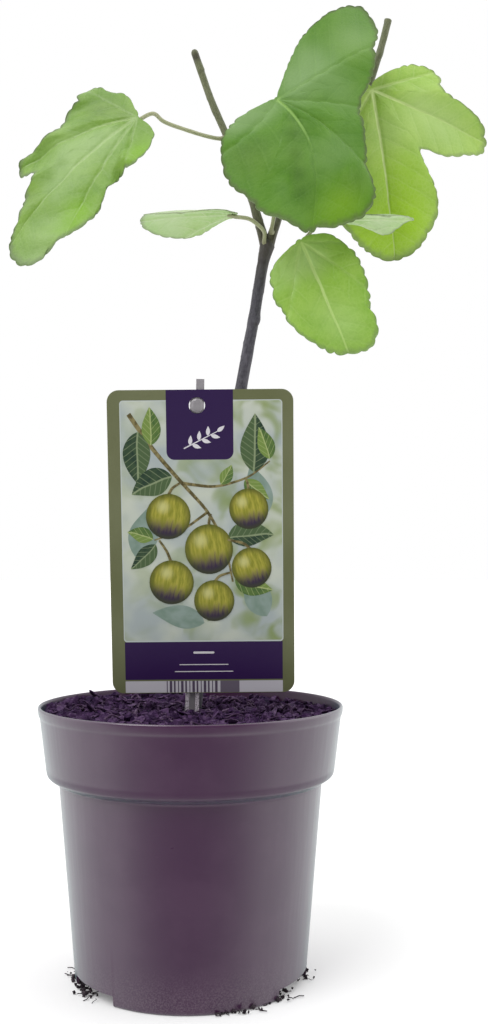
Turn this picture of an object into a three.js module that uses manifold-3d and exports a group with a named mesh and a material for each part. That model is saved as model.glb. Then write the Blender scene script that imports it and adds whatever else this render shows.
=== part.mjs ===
// A young fig tree growing in a 13 cm nursery pot, with its plastic label on a stake.
//
// Millimetres, +Z up. The origin is the centre of the pot's underside, +X is to the right and
// -Y is the front, where the label stands. Every limb is a tapering tube through a few named
// stations, and every leaf blade is a thin shell worked out from its lobes and veins.

import * as THREE from 'three';
import { mergeVertices } from 'three/addons/utils/BufferGeometryUtils.js';
import Module from 'manifold-3d';

const wasm = await Module();
wasm.setup();

// ---------------------------------------------------------------- driving dimensions

const GAP = 0.3; // clearance between pieces that touch

const POT_HEIGHT = 115.4;
const RIM_RADIUS = 65;
const BAND_FOOT_RADIUS = 61.3; // outside of the rim band where it steps in
const BAND_FOOT_HEIGHT = 85;
const BODY_TOP_RADIUS = 55.9; // outside of the tapered body, just under the band
const BODY_TOP_HEIGHT = 81;
const FOOT_RADIUS = 49.3;
const POT_WALL = 1.5;
const FOOT_RING_WIDTH = 2.2;
const FOOT_HEIGHT = 4.5; // how far the underside is raised above the foot ring
const FLOOR_HEIGHT = 6.3;
const CENTRE_FOOT_RADIUS = 14;
const CENTRE_FLOOR = 1.8;
const EDGE_EASE = 0.7; // how far the moulded corners are eased
const LIP_ROUND = 1.6; // height of the rolled edge on the rim
const STEP_FLARE = 1.6; // the step under the band flares out this far before it turns down
const POT_SIDES = 44;

const NOTCH_DIRECTIONS = [-54, 66, 186]; // degrees round from the front, towards +X
const NOTCH_WIDTH = 36; // degrees
const DRAIN_SLOT_WIDTH = 30; // degrees
const DRAIN_SLOT_INNER = 38;
const DRAIN_SLOT_OUTER = 45.5;

const COMPOST_LEVEL = 107.5; // at the stem
const COMPOST_RADIUS = 61.3;
const COMPOST_SLOPE = 0.022; // it falls away gently towards the back right
const COMPOST_UNEVENNESS = 0.9;
const BUMP_LENGTH = [56, 44]; // from one bump of the surface to the next, across and back
const COMPOST_FLAT_RADIUS = 7; // level ground round the stem's foot
const COMPOST_RINGS = [1, 0.93, 0.78, 0.6, 0.42, 0.24, 0.1]; // shares of its radius

const BLADE_THICKNESS = 1;
const STALK_RADIUS = 0.85;
const BLADE_HEEL = 3; // the blade's edge keeps this far from the stalk's end
const LOBE_BLEND = 8; // larger gives sharper bays between lobes
const LOBE_FULLNESS = 0.6; // 1 makes a lobe narrow, 0 makes it a sector
const PLEAT_GAP = 60; // degrees between two veins where the blade lifts by its full pleat
const BLADE_SPOKES = 52;
const BLADE_RINGS = 3;

const CARD_WIDTH = 78;
const CARD_HEIGHT = 129;
const CARD_THICKNESS = 0.8;
const CARD_CORNER = 5;
const CARD_FOOT = [5.4, 0, 119.8]; // middle of the card's lower edge
const CARD_LEAN = 6.4; // degrees towards the front
const CARD_ROLL = 0.5; // degrees towards -X
const HOLE_RADIUS = 3.4;
const HOLE_PLACE = [-1.3, 122.4]; // from the card's lower edge, across and up

const STAKE_WIDTH = 5.8;
const STAKE_DEPTH = 2.2;
const STAKE_GROOVE_WIDTH = 2.6;
const STAKE_GROOVE_DEPTH = 1.1;
const STAKE_LENGTH = 170;
const STAKE_HEAD = -2; // top of the strip above the card's upper edge
const TAB_WIDTH = 3.4; // a narrow tongue goes on up from the strip
const TAB_OFFSET = 1.2;
const TAB_LENGTH = 6.4;
const TAB_ROOT = 1; // how deep the tongue is rooted in the strip
const STAKE_ROLL = -1.7; // degrees, so that its foot is nearer -X than its head
const PEG_RADIUS = 3;
const PEG_LENGTH = 2.2;
const PEG_ROOT = 0.4; // how deep the peg is rooted in the strip

// ---------------------------------------------------------------- small helpers

const radians = THREE.MathUtils.degToRad;
const vector = (place) => new THREE.Vector3(...place);

// Turns a closed triangle mesh into a manifold solid, for cutting and joining.
function solidOf(geometry) {
  const bare = geometry.clone();
  bare.deleteAttribute('normal');
  bare.deleteAttribute('uv');
  const merged = mergeVertices(bare, 1e-4);
  const mesh = new wasm.Mesh({
    numProp: 3,
    vertProperties: new Float32Array(merged.attributes.position.array),
    triVerts: new Uint32Array(merged.index.array),
  });
  return new wasm.Manifold(mesh);
}

function geometryOf(solid) {
  const mesh = solid.getMesh();
  const geometry = new THREE.BufferGeometry();
  geometry.setAttribute('position', new THREE.BufferAttribute(mesh.vertProperties, 3));
  geometry.setIndex(new THREE.BufferAttribute(mesh.triVerts, 1));
  geometry.computeVertexNormals();
  return geometry;
}

// Makes an indexed mesh and turns it inside out if its faces point inwards.
function closedMesh(points, triangles) {
  let volume = 0;
  for (const [a, b, c] of triangles) {
    volume += points[a].dot(points[b].clone().cross(points[c]));
  }
  const facing = volume > 0 ? triangles : triangles.map(([a, b, c]) => [a, c, b]);
  const geometry = new THREE.BufferGeometry().setFromPoints(points);
  geometry.setIndex(facing.flat());
  geometry.computeVertexNormals();
  return geometry;
}

// Joins a row of rings, each a list of as many points, and closes both ends with a fan.
function loft(rings) {
  const sides = rings[0].length;
  const points = rings.flat();
  const triangles = [];
  for (let ring = 0; ring + 1 < rings.length; ring += 1) {
    for (let side = 0; side < sides; side += 1) {
      const here = ring * sides + side;
      const next = ring * sides + ((side + 1) % sides);
      triangles.push([here, next, next + sides], [here, next + sides, here + sides]);
    }
  }
  for (const [ring, turn] of [[0, 1], [rings.length - 1, 0]]) {
    const middle = points.length;
    const centre = new THREE.Vector3();
    for (const point of rings[ring]) centre.addScaledVector(point, 1 / sides);
    points.push(centre);
    for (let side = 0; side < sides; side += 1) {
      const here = ring * sides + side;
      const next = ring * sides + ((side + 1) % sides);
      triangles.push(turn ? [middle, next, here] : [middle, here, next]);
    }
  }
  return closedMesh(points, triangles);
}

const model = new THREE.Group();

function addPiece(name, geometry, color, roughness, parent = model) {
  const material = new THREE.MeshStandardMaterial({ color, roughness, metalness: 0 });
  const mesh = new THREE.Mesh(geometry, material);
  mesh.name = name;
  parent.add(mesh);
  return mesh;
}

// ---------------------------------------------------------------- pot

// Half the pot's section, from the middle of its underside round to the middle of its floor.
function potSection() {
  const ringInner = FOOT_RADIUS - FOOT_RING_WIDTH;
  const innerRim = RIM_RADIUS - POT_WALL;
  const innerFoot = FOOT_RADIUS - POT_WALL;
  return [
    [0, 0],
    [CENTRE_FOOT_RADIUS, 0],
    [CENTRE_FOOT_RADIUS + LIP_ROUND, FOOT_HEIGHT],
    [ringInner - EDGE_EASE, FOOT_HEIGHT],
    [ringInner, 0],
    [FOOT_RADIUS - EDGE_EASE, 0],
    [FOOT_RADIUS, EDGE_EASE],
    [BODY_TOP_RADIUS, BODY_TOP_HEIGHT],
    [BODY_TOP_RADIUS + STEP_FLARE, BODY_TOP_HEIGHT + EDGE_EASE],
    [BAND_FOOT_RADIUS - EDGE_EASE, BAND_FOOT_HEIGHT - 2 * EDGE_EASE],
    [BAND_FOOT_RADIUS, BAND_FOOT_HEIGHT],
    [RIM_RADIUS - EDGE_EASE, POT_HEIGHT - 2 * LIP_ROUND],
    [RIM_RADIUS, POT_HEIGHT - LIP_ROUND],
    [RIM_RADIUS - EDGE_EASE, POT_HEIGHT],
    [innerRim, POT_HEIGHT - EDGE_EASE],
    [BAND_FOOT_RADIUS - POT_WALL, BAND_FOOT_HEIGHT + POT_WALL],
    [BODY_TOP_RADIUS - POT_WALL, BODY_TOP_HEIGHT + POT_WALL],
    [innerFoot, FLOOR_HEIGHT + EDGE_EASE],
    [innerFoot - EDGE_EASE, FLOOR_HEIGHT],
    [CENTRE_FOOT_RADIUS + EDGE_EASE, FLOOR_HEIGHT],
    [CENTRE_FOOT_RADIUS - EDGE_EASE, CENTRE_FLOOR],
    [0, CENTRE_FLOOR],
  ];
}

// LatheGeometry turns a section round its own Y axis, so the result is stood up on Z.
function turned(section, sides) {
  const profile = section.map(([radius, height]) => new THREE.Vector2(radius, height));
  const geometry = new THREE.LatheGeometry(profile, sides);
  geometry.rotateX(Math.PI / 2);
  return geometry;
}

// A curved block between two radii, centred on a direction round from the front.
function sectorBlock(direction, width, inner, outer, bottom, top) {
  const middle = radians(direction - 90);
  const half = radians(width / 2);
  const shape = new THREE.Shape();
  shape.absarc(0, 0, outer, middle - half, middle + half, false);
  shape.absarc(0, 0, inner, middle + half, middle - half, true);
  shape.closePath();
  const settings = { depth: top - bottom, bevelEnabled: false, curveSegments: 6 };
  const geometry = new THREE.ExtrudeGeometry(shape, settings);
  geometry.translate(0, 0, bottom);
  return geometry;
}

function makePot() {
  let pot = solidOf(turned(potSection(), POT_SIDES));
  for (const direction of NOTCH_DIRECTIONS) {
    const notch = sectorBlock(direction, NOTCH_WIDTH, DRAIN_SLOT_OUTER, RIM_RADIUS, -1, FOOT_HEIGHT);
    pot = pot.subtract(solidOf(notch));
    const slot = sectorBlock(direction, DRAIN_SLOT_WIDTH, DRAIN_SLOT_INNER, DRAIN_SLOT_OUTER,
      1, FLOOR_HEIGHT + 1);
    pot = pot.subtract(solidOf(slot));
  }
  addPiece('pot', geometryOf(pot), 0x4b344b, 0.42);
}

// ---------------------------------------------------------------- compost

const STEM_FOOT = [-1.8, 10.5];

// The compost's surface: nearly level, a little lower at the back right, flat round the stem.
function compostHeight(x, y) {
  const fromStem = Math.hypot(x - STEM_FOOT[0], y - STEM_FOOT[1]);
  const rough = THREE.MathUtils.smoothstep(fromStem, COMPOST_FLAT_RADIUS, 2.5 * COMPOST_FLAT_RADIUS);
  const slope = COMPOST_SLOPE * (x - STEM_FOOT[0] + 0.6 * (y - STEM_FOOT[1]));
  const across = Math.sin((2 * Math.PI * x) / BUMP_LENGTH[0]);
  const back = Math.cos((2 * Math.PI * y) / BUMP_LENGTH[1] + 1);
  const bumps = COMPOST_UNEVENNESS * across * back;
  return COMPOST_LEVEL + rough * (bumps - slope);
}

// A ring of points round the pot's axis, at one height or lying on the compost's surface.
function compostRing(radius, height) {
  const ring = [];
  for (let side = 0; side < POT_SIDES; side += 1) {
    const turn = (2 * Math.PI * side) / POT_SIDES;
    const x = radius * Math.cos(turn);
    const y = radius * Math.sin(turn);
    ring.push(new THREE.Vector3(x, y, height ?? compostHeight(x, y)));
  }
  return ring;
}

function makeCompost(stakeSlot) {
  const inset = POT_WALL + 2 * GAP;
  const rings = [
    compostRing(CENTRE_FOOT_RADIUS, FLOOR_HEIGHT + GAP),
    compostRing(FOOT_RADIUS - inset - EDGE_EASE, FLOOR_HEIGHT + GAP),
    compostRing(FOOT_RADIUS - inset, FLOOR_HEIGHT + POT_WALL),
    compostRing(BODY_TOP_RADIUS - inset, BODY_TOP_HEIGHT + POT_WALL + GAP),
    compostRing(BAND_FOOT_RADIUS - inset, BAND_FOOT_HEIGHT + POT_WALL + 2 * GAP),
  ];
  for (const share of COMPOST_RINGS) rings.push(compostRing(COMPOST_RADIUS * share));
  const compost = solidOf(loft(rings)).subtract(solidOf(stakeSlot));
  addPiece('compost', geometryOf(compost), 0x33222f, 0.95);
}

// ---------------------------------------------------------------- limbs

// A limb is a smooth tapering tube through stations [x, y, z, radius].
class Limb {
  constructor(stations) {
    this.stations = stations;
    this.curve = new THREE.CatmullRomCurve3(stations.map(([x, y, z]) => new THREE.Vector3(x, y, z)));
  }

  radiusAt(share) {
    const along = share * (this.stations.length - 1);
    const from = Math.min(Math.floor(along), this.stations.length - 2);
    return THREE.MathUtils.lerp(this.stations[from][3], this.stations[from + 1][3], along - from);
  }

  geometry(sides, stepsPerStation, flatFoot = false) {
    const steps = (this.stations.length - 1) * stepsPerStation;
    const rings = [];
    let across = new THREE.Vector3(0, 1, 0);
    for (let step = 0; step <= steps; step += 1) {
      const share = step / steps;
      const middle = this.curve.getPoint(share);
      const along = this.curve.getTangent(share);
      across = across.clone().addScaledVector(along, -across.dot(along)).normalize();
      const side = along.clone().cross(across);
      const radius = this.radiusAt(share);
      const ring = [];
      for (let corner = 0; corner < sides; corner += 1) {
        const turn = (2 * Math.PI * corner) / sides;
        const point = middle.clone();
        point.addScaledVector(across, radius * Math.cos(turn));
        point.addScaledVector(side, radius * Math.sin(turn));
        if (step === 0 && flatFoot) point.z = middle.z;
        ring.push(point);
      }
      rings.push(ring);
    }
    return loft(rings);
  }

  // Where a stalk that heads for a point meets this limb's bark, at a share of its length.
  seat(share, target, stalkRadius) {
    const middle = this.curve.getPoint(share);
    const along = this.curve.getTangent(share);
    const heading = vector(target).sub(middle).normalize();
    const slant = heading.dot(along);
    const outward = heading.addScaledVector(along, -slant).normalize();
    const reach = this.radiusAt(share) + GAP + stalkRadius * Math.abs(slant);
    return middle.addScaledVector(outward, reach);
  }
}

const stem = new Limb([
  [...STEM_FOOT, COMPOST_LEVEL + GAP, 5.4],
  [-1.6, 10.5, 111, 4.3],
  [-0.4, 10.5, 118, 3.9],
  [10, 10.8, 182, 3.2],
  [21.4, 11, 252.2, 2.6],
  [26.4, 12, 279.4, 2.5],
  [31.2, 12.6, 308, 2.5],
  [32.9, 13, 315.3, 3.3],
]);

const shootLeft = new Limb([
  [31, 13, 316.5, 1.9],
  [30.7, 13, 319.7, 1.9],
  [26.7, 14, 334.4, 1.8],
  [20.9, 16, 351.4, 1.7],
  [14.2, 17, 366.9, 1.6],
  [7.6, 17, 382.3, 1.55],
  [0.9, 16, 401.5, 1.6],
]);

const shootRight = new Limb([
  [35.2, 13, 316.1, 1.9],
  [35.6, 13, 319.3, 1.9],
  [37.3, 16, 326.6, 1.8],
  [39.8, 23, 336.5, 1.8],
  [45.7, 32, 350.2, 1.7],
  [62.5, 38, 371.7, 1.7],
  [78.2, 40, 391.6, 1.6],
  [85.7, 40, 412.3, 1.6],
  [89.5, 39, 426.7, 1.65],
]);

function makeLimbs() {
  addPiece('stem', stem.geometry(10, 2, true), 0x4a4148, 0.8);
  addPiece('shoot_left', shootLeft.geometry(8, 2), 0x5f5a45, 0.75);
  addPiece('shoot_right', shootRight.geometry(8, 2), 0x66604f, 0.75);
}

// ---------------------------------------------------------------- leaves

// A blade is described flat first: each lobe is [direction, reach, spread], where direction is
// in degrees round the stalk's end from the midrib, reach is in mm and spread is the angle at
// which the lobe has died away. Then it is bent: pleat lifts it between the veins, curlRadius
// bends it across the midrib and droopRadius bends it along the midrib.
// base is where the stalk meets the blade, along is the way the midrib leaves it, and face is
// the way the upper surface looks.

const LEAVES = {
  front: {
    base: [36.9, 0, 374.4], along: [0.2, -0.35, -0.93], face: [0.1, -1, 0.3],
    lobes: [[136, 67, 10], [130, 68, 25], [105, 47, 46], [70, 37, 42], [34, 49, 46],
      [10, 65, 46], [-21, 56, 32], [-44, 41, 30]],
    veins: [138, 80, 30, 2, -50],
    droopRadius: 250, curlRadius: 500, pleat: 0.08,
    limb: shootRight, share: 0.14,
    stalk: [[36.5, 9.6, 330.5], [37.2, 8, 350.1], [37.4, 5, 366.6]],
    color: 0x5f9141,
  },
  right: {
    base: [80.6, 27, 389.4], along: [0.14, -0.1, -0.98], face: [0.15, -1, 0.25],
    lobes: [[107, 30, 22], [95, 33, 28], [59, 57, 31], [20, 57, 14], [0, 77, 36],
      [-35, 55, 32], [-75, 30, 50]],
    veins: [104, 60, 2, -36, -80],
    droopRadius: 250, curlRadius: 330, pleat: 0.06,
    limb: shootRight, share: 0.62,
    stalk: [[68.9, 35, 377], [74.9, 32.5, 383.8]],
    color: 0x96be50,
  },
  left: {
    base: [-19, 6, 368.5], along: [-0.66, -0.25, -0.72], face: [-0.15, -0.85, 0.5],
    lobes: [[30, 27, 28], [15, 55, 16], [-1, 87, 21], [-17, 67, 16], [-34, 62, 20],
      [-60, 42, 22], [-80, 40, 20], [-95, 41, 20]],
    veins: [32, 12, -4, -37, -92],
    droopRadius: 330, curlRadius: 500, pleat: 0.06,
    limb: shootLeft, share: 0.64,
    stalk: [[9.2, 14.6, 363.4], [-2.7, 11.4, 365.7], [-12.5, 9, 368.2]],
    color: 0x96b96e,
  },
  low: {
    base: [47.4, 4, 314.4], along: [0.42, -0.25, -0.87], face: [-0.1, -1, 0.35],
    lobes: [[60, 16, 36], [34, 27, 33], [14, 39, 36], [6, 55, 20], [-7, 52, 36],
      [-30, 35, 35], [-60, 22, 35]],
    veins: [65, 28, -3, -35, -72],
    droopRadius: 250, curlRadius: 250, pleat: 0.05,
    limb: shootRight, share: 0.3,
    stalk: [[45.3, 11.5, 329.6], [52, 8.5, 321]],
    color: 0x8cb94b,
  },
  small_left: {
    base: [18.8, 8, 328], along: [-1, 0, -0.02], face: [0, 0.06, 1],
    lobes: [[0, 41, 30], [27, 33, 24], [-27, 33, 24]],
    veins: [70, 34, 0, -34, -70],
    droopRadius: 400, curlRadius: 28, pleat: 0.03,
    limb: shootLeft, share: 0.12,
    stalk: [[26.6, 10.6, 324.4], [22.5, 9.2, 325.9]],
    color: 0xafcd96,
  },
  small_right: {
    base: [66.4, 6, 325.2], along: [1, -0.06, 0], face: [0, 0.06, 1],
    lobes: [[0, 31, 30], [30, 25, 30], [-30, 22, 26]],
    veins: [70, 34, 0, -34, -70],
    droopRadius: 400, curlRadius: 28, pleat: 0.03,
    limb: shootRight, share: 0.36,
    stalk: [[48.7, 14, 331], [59.6, 9, 323.3]],
    color: 0xafcd96,
  },
  back: {
    base: [44.7, 48, 376.6], along: [-0.06, 0.3, -0.95], face: [0, 1, 0.3],
    lobes: [[0, 38, 34], [42, 32, 30], [-42, 32, 30], [92, 18, 36], [-92, 18, 36]],
    veins: [88, 42, 0, -42, -88],
    droopRadius: 200, curlRadius: 120, pleat: 0.06,
    limb: shootLeft, share: 0.62,
    stalk: [[24, 25, 367.7], [34.8, 38, 374.6]],
    color: 0x6f9f48,
  },
};

class Leaf {
  constructor(settings) {
    Object.assign(this, settings);
    this.root = vector(this.base);
    this.ahead = vector(this.along).normalize();
    this.up = vector(this.face);
    this.up.addScaledVector(this.ahead, -this.up.dot(this.ahead)).normalize();
    this.aside = this.up.clone().cross(this.ahead);
    this.veins = [...this.veins].sort((a, b) => a - b);
  }

  // How far the flat blade reaches from the stalk's end in a direction, in degrees.
  reach(direction) {
    let total = BLADE_HEEL ** LOBE_BLEND;
    for (const [middle, length, spread] of this.lobes) {
      const turn = THREE.MathUtils.euclideanModulo(direction - middle + 180, 360) - 180;
      const share = Math.min(Math.abs(turn) / spread, 1);
      total += (length * Math.cos((share * Math.PI) / 2) ** LOBE_FULLNESS) ** LOBE_BLEND;
    }
    return total ** (1 / LOBE_BLEND);
  }

  // The blade's lift between two neighbouring veins, for each mm out from the stalk.
  lift(direction) {
    for (let vein = 0; vein + 1 < this.veins.length; vein += 1) {
      const from = this.veins[vein];
      const gap = this.veins[vein + 1] - from;
      if (direction >= from && direction <= from + gap) {
        return (this.pleat * gap * Math.sin((Math.PI * (direction - from)) / gap)) / PLEAT_GAP;
      }
    }
    return 0;
  }

  // The bent blade's middle surface at a direction and a distance from the stalk's end.
  place(direction, distance) {
    const flatAhead = distance * Math.cos(radians(direction));
    const flatAside = distance * Math.sin(radians(direction));
    const raised = distance * this.lift(direction);
    const curl = flatAside / this.curlRadius;
    const aside = (this.curlRadius + raised) * Math.sin(curl);
    const height = (this.curlRadius + raised) * Math.cos(curl) - this.curlRadius;
    const droop = Math.max(flatAhead, 0) / this.droopRadius;
    const ahead = Math.min(flatAhead, 0) + (this.droopRadius + height) * Math.sin(droop);
    const depth = (this.droopRadius + height) * Math.cos(droop) - this.droopRadius;
    const point = this.root.clone().addScaledVector(this.ahead, ahead);
    return point.addScaledVector(this.aside, aside).addScaledVector(this.up, depth);
  }

  // The way the upper surface looks at that place.
  normal(direction, distance) {
    const step = 2;
    const out = this.place(direction, distance + 1).sub(this.place(direction, distance));
    const round = this.place(direction + step, distance).sub(this.place(direction - step, distance));
    return out.cross(round).normalize();
  }

  geometry() {
    const points = [];
    const triangles = [];
    const sheet = 1 + BLADE_SPOKES * BLADE_RINGS;
    for (const side of [1, -1]) {
      const offset = (side * BLADE_THICKNESS) / 2;
      points.push(this.root.clone().addScaledVector(this.up, offset));
      for (let ring = 1; ring <= BLADE_RINGS; ring += 1) {
        for (let spoke = 0; spoke < BLADE_SPOKES; spoke += 1) {
          const direction = (360 * spoke) / BLADE_SPOKES - 180;
          const distance = (this.reach(direction) * ring) / BLADE_RINGS;
          const point = this.place(direction, distance);
          points.push(point.addScaledVector(this.normal(direction, distance), offset));
        }
      }
    }
    for (const [start, upper] of [[0, true], [sheet, false]]) {
      const add = (a, b, c) => triangles.push(upper ? [a, b, c] : [a, c, b]);
      for (let spoke = 0; spoke < BLADE_SPOKES; spoke += 1) {
        const here = start + 1 + spoke;
        const next = start + 1 + ((spoke + 1) % BLADE_SPOKES);
        add(start, here, next);
        for (let ring = 1; ring < BLADE_RINGS; ring += 1) {
          const inner = (ring - 1) * BLADE_SPOKES;
          const outer = ring * BLADE_SPOKES;
          add(here + inner, here + outer, next + outer);
          add(here + inner, next + outer, next + inner);
        }
      }
    }
    const rim = 1 + (BLADE_RINGS - 1) * BLADE_SPOKES;
    for (let spoke = 0; spoke < BLADE_SPOKES; spoke += 1) {
      const here = rim + spoke;
      const next = rim + ((spoke + 1) % BLADE_SPOKES);
      triangles.push([here, here + sheet, next + sheet], [here, next + sheet, next]);
    }
    return closedMesh(points, triangles);
  }

  // The stalk runs from its limb's bark to just under the blade.
  stalkGeometry() {
    const start = this.limb.seat(this.share, this.stalk[0], STALK_RADIUS);
    const under = BLADE_THICKNESS / 2 + GAP + STALK_RADIUS;
    const end = this.root.clone().addScaledVector(this.up, -under);
    const stations = [start.toArray(), ...this.stalk, end.toArray()];
    const stalk = new Limb(stations.map((place) => [...place, STALK_RADIUS]));
    return stalk.geometry(6, 3);
  }
}

function makeLeaves() {
  for (const [name, settings] of Object.entries(LEAVES)) {
    const leaf = new Leaf(settings);
    addPiece(`stalk_${name}`, leaf.stalkGeometry(), 0xb4c48c, 0.6);
    addPiece(`leaf_${name}`, leaf.geometry(), settings.color, 0.6);
  }
}

// ---------------------------------------------------------------- label

// The label's own frame: X across, Z up the card, Y behind it.
const label = new THREE.Group();
label.position.set(...CARD_FOOT);
label.rotation.set(radians(CARD_LEAN), radians(-CARD_ROLL), 0);
model.add(label);

function cardGeometry() {
  const left = -CARD_WIDTH / 2;
  const right = CARD_WIDTH / 2;
  const corner = CARD_CORNER;
  const outline = new THREE.Shape();
  outline.absarc(right - corner, corner, corner, -Math.PI / 2, 0, false);
  outline.absarc(right - corner, CARD_HEIGHT - corner, corner, 0, Math.PI / 2, false);
  outline.absarc(left + corner, CARD_HEIGHT - corner, corner, Math.PI / 2, Math.PI, false);
  outline.absarc(left + corner, corner, corner, Math.PI, 1.5 * Math.PI, false);
  outline.closePath();
  const hole = new THREE.Path();
  hole.absarc(...HOLE_PLACE, HOLE_RADIUS, 0, 2 * Math.PI, true);
  outline.holes.push(hole);
  const settings = { depth: CARD_THICKNESS, bevelEnabled: false, curveSegments: 8 };
  const geometry = new THREE.ExtrudeGeometry(outline, settings);
  geometry.rotateX(Math.PI / 2);
  geometry.translate(0, CARD_THICKNESS / 2, 0);
  return geometry;
}

// The stake is a grooved strip behind the card, with a round peg through the card's hole.
function placeOnStake(geometry) {
  geometry.translate(0, CARD_THICKNESS / 2 + GAP, 0);
  geometry.rotateY(radians(-STAKE_ROLL));
  geometry.translate(HOLE_PLACE[0], 0, HOLE_PLACE[1]);
  return geometry;
}

const STAKE_TOP = CARD_HEIGHT + STAKE_HEAD - HOLE_PLACE[1]; // above the peg

function stakeGeometry() {
  const half = STAKE_WIDTH / 2;
  const groove = STAKE_GROOVE_WIDTH / 2;
  const web = STAKE_DEPTH - STAKE_GROOVE_DEPTH;
  const section = new THREE.Shape([
    new THREE.Vector2(-half, 0),
    new THREE.Vector2(half, 0),
    new THREE.Vector2(half, STAKE_DEPTH),
    new THREE.Vector2(groove, STAKE_DEPTH),
    new THREE.Vector2(groove, web),
    new THREE.Vector2(-groove, web),
    new THREE.Vector2(-groove, STAKE_DEPTH),
    new THREE.Vector2(-half, STAKE_DEPTH),
  ]);
  const strip = new THREE.ExtrudeGeometry(section, { depth: STAKE_LENGTH, bevelEnabled: false });
  strip.translate(0, 0, STAKE_TOP - STAKE_LENGTH);
  const peg = new THREE.CylinderGeometry(PEG_RADIUS, PEG_RADIUS, PEG_LENGTH, 20);
  peg.translate(0, PEG_ROOT - PEG_LENGTH / 2, 0);
  const tab = new THREE.BoxGeometry(TAB_WIDTH, web, TAB_LENGTH + TAB_ROOT);
  tab.translate(TAB_OFFSET, web / 2, STAKE_TOP + (TAB_LENGTH - TAB_ROOT) / 2);
  const [body, head, pin] = [strip, tab, peg].map((piece) => solidOf(placeOnStake(piece)));
  return geometryOf(body.add(head).add(pin));
}

// The slot that the stake has pushed into the compost, a clearance wider all round.
function stakeSlotGeometry() {
  const depth = STAKE_LENGTH + 2 * GAP;
  const slot = new THREE.BoxGeometry(STAKE_WIDTH + 2 * GAP, STAKE_DEPTH + 2 * GAP, depth);
  slot.translate(0, STAKE_DEPTH / 2, STAKE_TOP - STAKE_LENGTH / 2);
  placeOnStake(slot);
  label.updateMatrixWorld(true);
  slot.applyMatrix4(label.matrixWorld);
  return slot;
}

function makeLabel() {
  addPiece('label_card', cardGeometry(), 0x73784b, 0.45, label);
  addPiece('label_stake', stakeGeometry(), 0xc9c7c9, 0.3, label);
}

makePot();
makeCompost(stakeSlotGeometry());
makeLimbs();
makeLeaves();
makeLabel();

export default model;
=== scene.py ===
# %% [markdown]
# # A young fig tree in its nursery pot
# One woody stem, cut back once, has grown two green shoots and seven lobed leaves. It stands in a
# 13 cm pot of thin plum plastic, full of dark compost, with a picture label on a clear stake.
# The CAD model gives the place and the size of every piece. This script makes the piece that is
# seen in that place: finer shapes in mesh code, and finishes in shader nodes. It works in
# millimetres, as the CAD does, and writes metres only when a mesh is made.

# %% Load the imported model
import math

import bmesh
import bpy
import numpy as np
from mathutils import Euler, Matrix, Vector


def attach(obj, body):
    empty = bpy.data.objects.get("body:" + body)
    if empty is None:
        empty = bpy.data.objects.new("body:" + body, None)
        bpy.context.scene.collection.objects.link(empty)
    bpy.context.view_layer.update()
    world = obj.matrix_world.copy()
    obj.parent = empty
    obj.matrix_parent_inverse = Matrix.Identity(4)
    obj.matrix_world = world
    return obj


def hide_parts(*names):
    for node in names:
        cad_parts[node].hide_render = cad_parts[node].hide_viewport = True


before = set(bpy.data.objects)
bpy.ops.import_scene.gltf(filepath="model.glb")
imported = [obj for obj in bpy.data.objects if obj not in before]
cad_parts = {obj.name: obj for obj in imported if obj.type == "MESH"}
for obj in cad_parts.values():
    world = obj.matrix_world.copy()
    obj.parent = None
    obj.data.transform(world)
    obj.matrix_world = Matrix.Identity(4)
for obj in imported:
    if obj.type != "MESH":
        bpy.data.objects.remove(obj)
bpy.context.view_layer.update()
MM = 0.001

# %% Put things into the scene


def add(name, data):
    """Puts a camera, a lamp, a curve or a mesh into the scene."""
    thing = bpy.data.objects.new(name, data)
    bpy.context.scene.collection.objects.link(thing)
    return thing


def add_mesh(name, points, faces):
    """Puts a plain mesh into the scene, from points in mm."""
    mesh = bpy.data.meshes.new(name)
    mesh.from_pydata((np.asarray(points) * MM).tolist(), [], faces)
    return add(name, mesh)


def finished_mesh(thing):
    """What an object's modifiers, or its curve's settings, make of it."""
    depsgraph = bpy.context.evaluated_depsgraph_get()
    return bpy.data.meshes.new_from_object(thing.evaluated_get(depsgraph))


def points_and_faces(mesh):
    """A mesh as an array of points and a list of faces."""
    return (np.array([vertex.co for vertex in mesh.vertices]),
            [list(face.vertices) for face in mesh.polygons])


# %% [markdown]
# ## Camera
# The plant is looked at from straight in front, with the lens two fifths of the way up it. A
# level lens keeps the stem, the card and the pot's sides from leaning. The frame then has to sit
# a little higher than the lens, and a real camera does that by shifting its back, so a small
# shift is used here and the camera is not tilted.

# %% Set the camera
CAMERA_PLACE = (22.7, -500, 178.5)
FOCAL_LENGTH, SENSOR_WIDTH = 40.92, 36  # mm, along the frame's long side
FRAME_SHIFT = 0.043  # shares of the long side

camera_data = bpy.data.cameras.new("camera")
camera_data.lens, camera_data.sensor_width = FOCAL_LENGTH, SENSOR_WIDTH
camera_data.shift_y = FRAME_SHIFT
camera_data.clip_start, camera_data.clip_end = 0.01, 100
camera = add("camera", camera_data)
camera.location = Vector(CAMERA_PLACE) * MM
camera.rotation_euler = (math.radians(90), 0, 0)
bpy.context.scene.camera = camera
print("camera", [round(value, 4) for value in camera.location], "lens", FOCAL_LENGTH)

# %% [markdown]
# ## Numbers and node helpers
# A few short helpers keep the rest readable. For numbers there are a soft step, a soft hump,
# places round a circle, and a smooth random field made of a few dozen sine waves in random
# directions, which is quick on whole arrays and comes out the same each run. For shaders, a
# socket is wrapped in a small class that knows how to add, subtract and multiply, so that a
# finish reads as a few lines of sums and not as a page of links.

# %% Number helpers
RIPPLE_WAVES = 28


def unit(vectors):
    """Vectors of length one."""
    vectors = np.asarray(vectors, float)
    return vectors / np.linalg.norm(vectors, axis=-1, keepdims=True)


def smooth_step(values, low, high):
    """0 below low, 1 above high, and a soft ramp between them."""
    share = np.clip((np.asarray(values, float) - low) / (high - low), 0, 1)
    return share * share * (3 - 2 * share)


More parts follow.
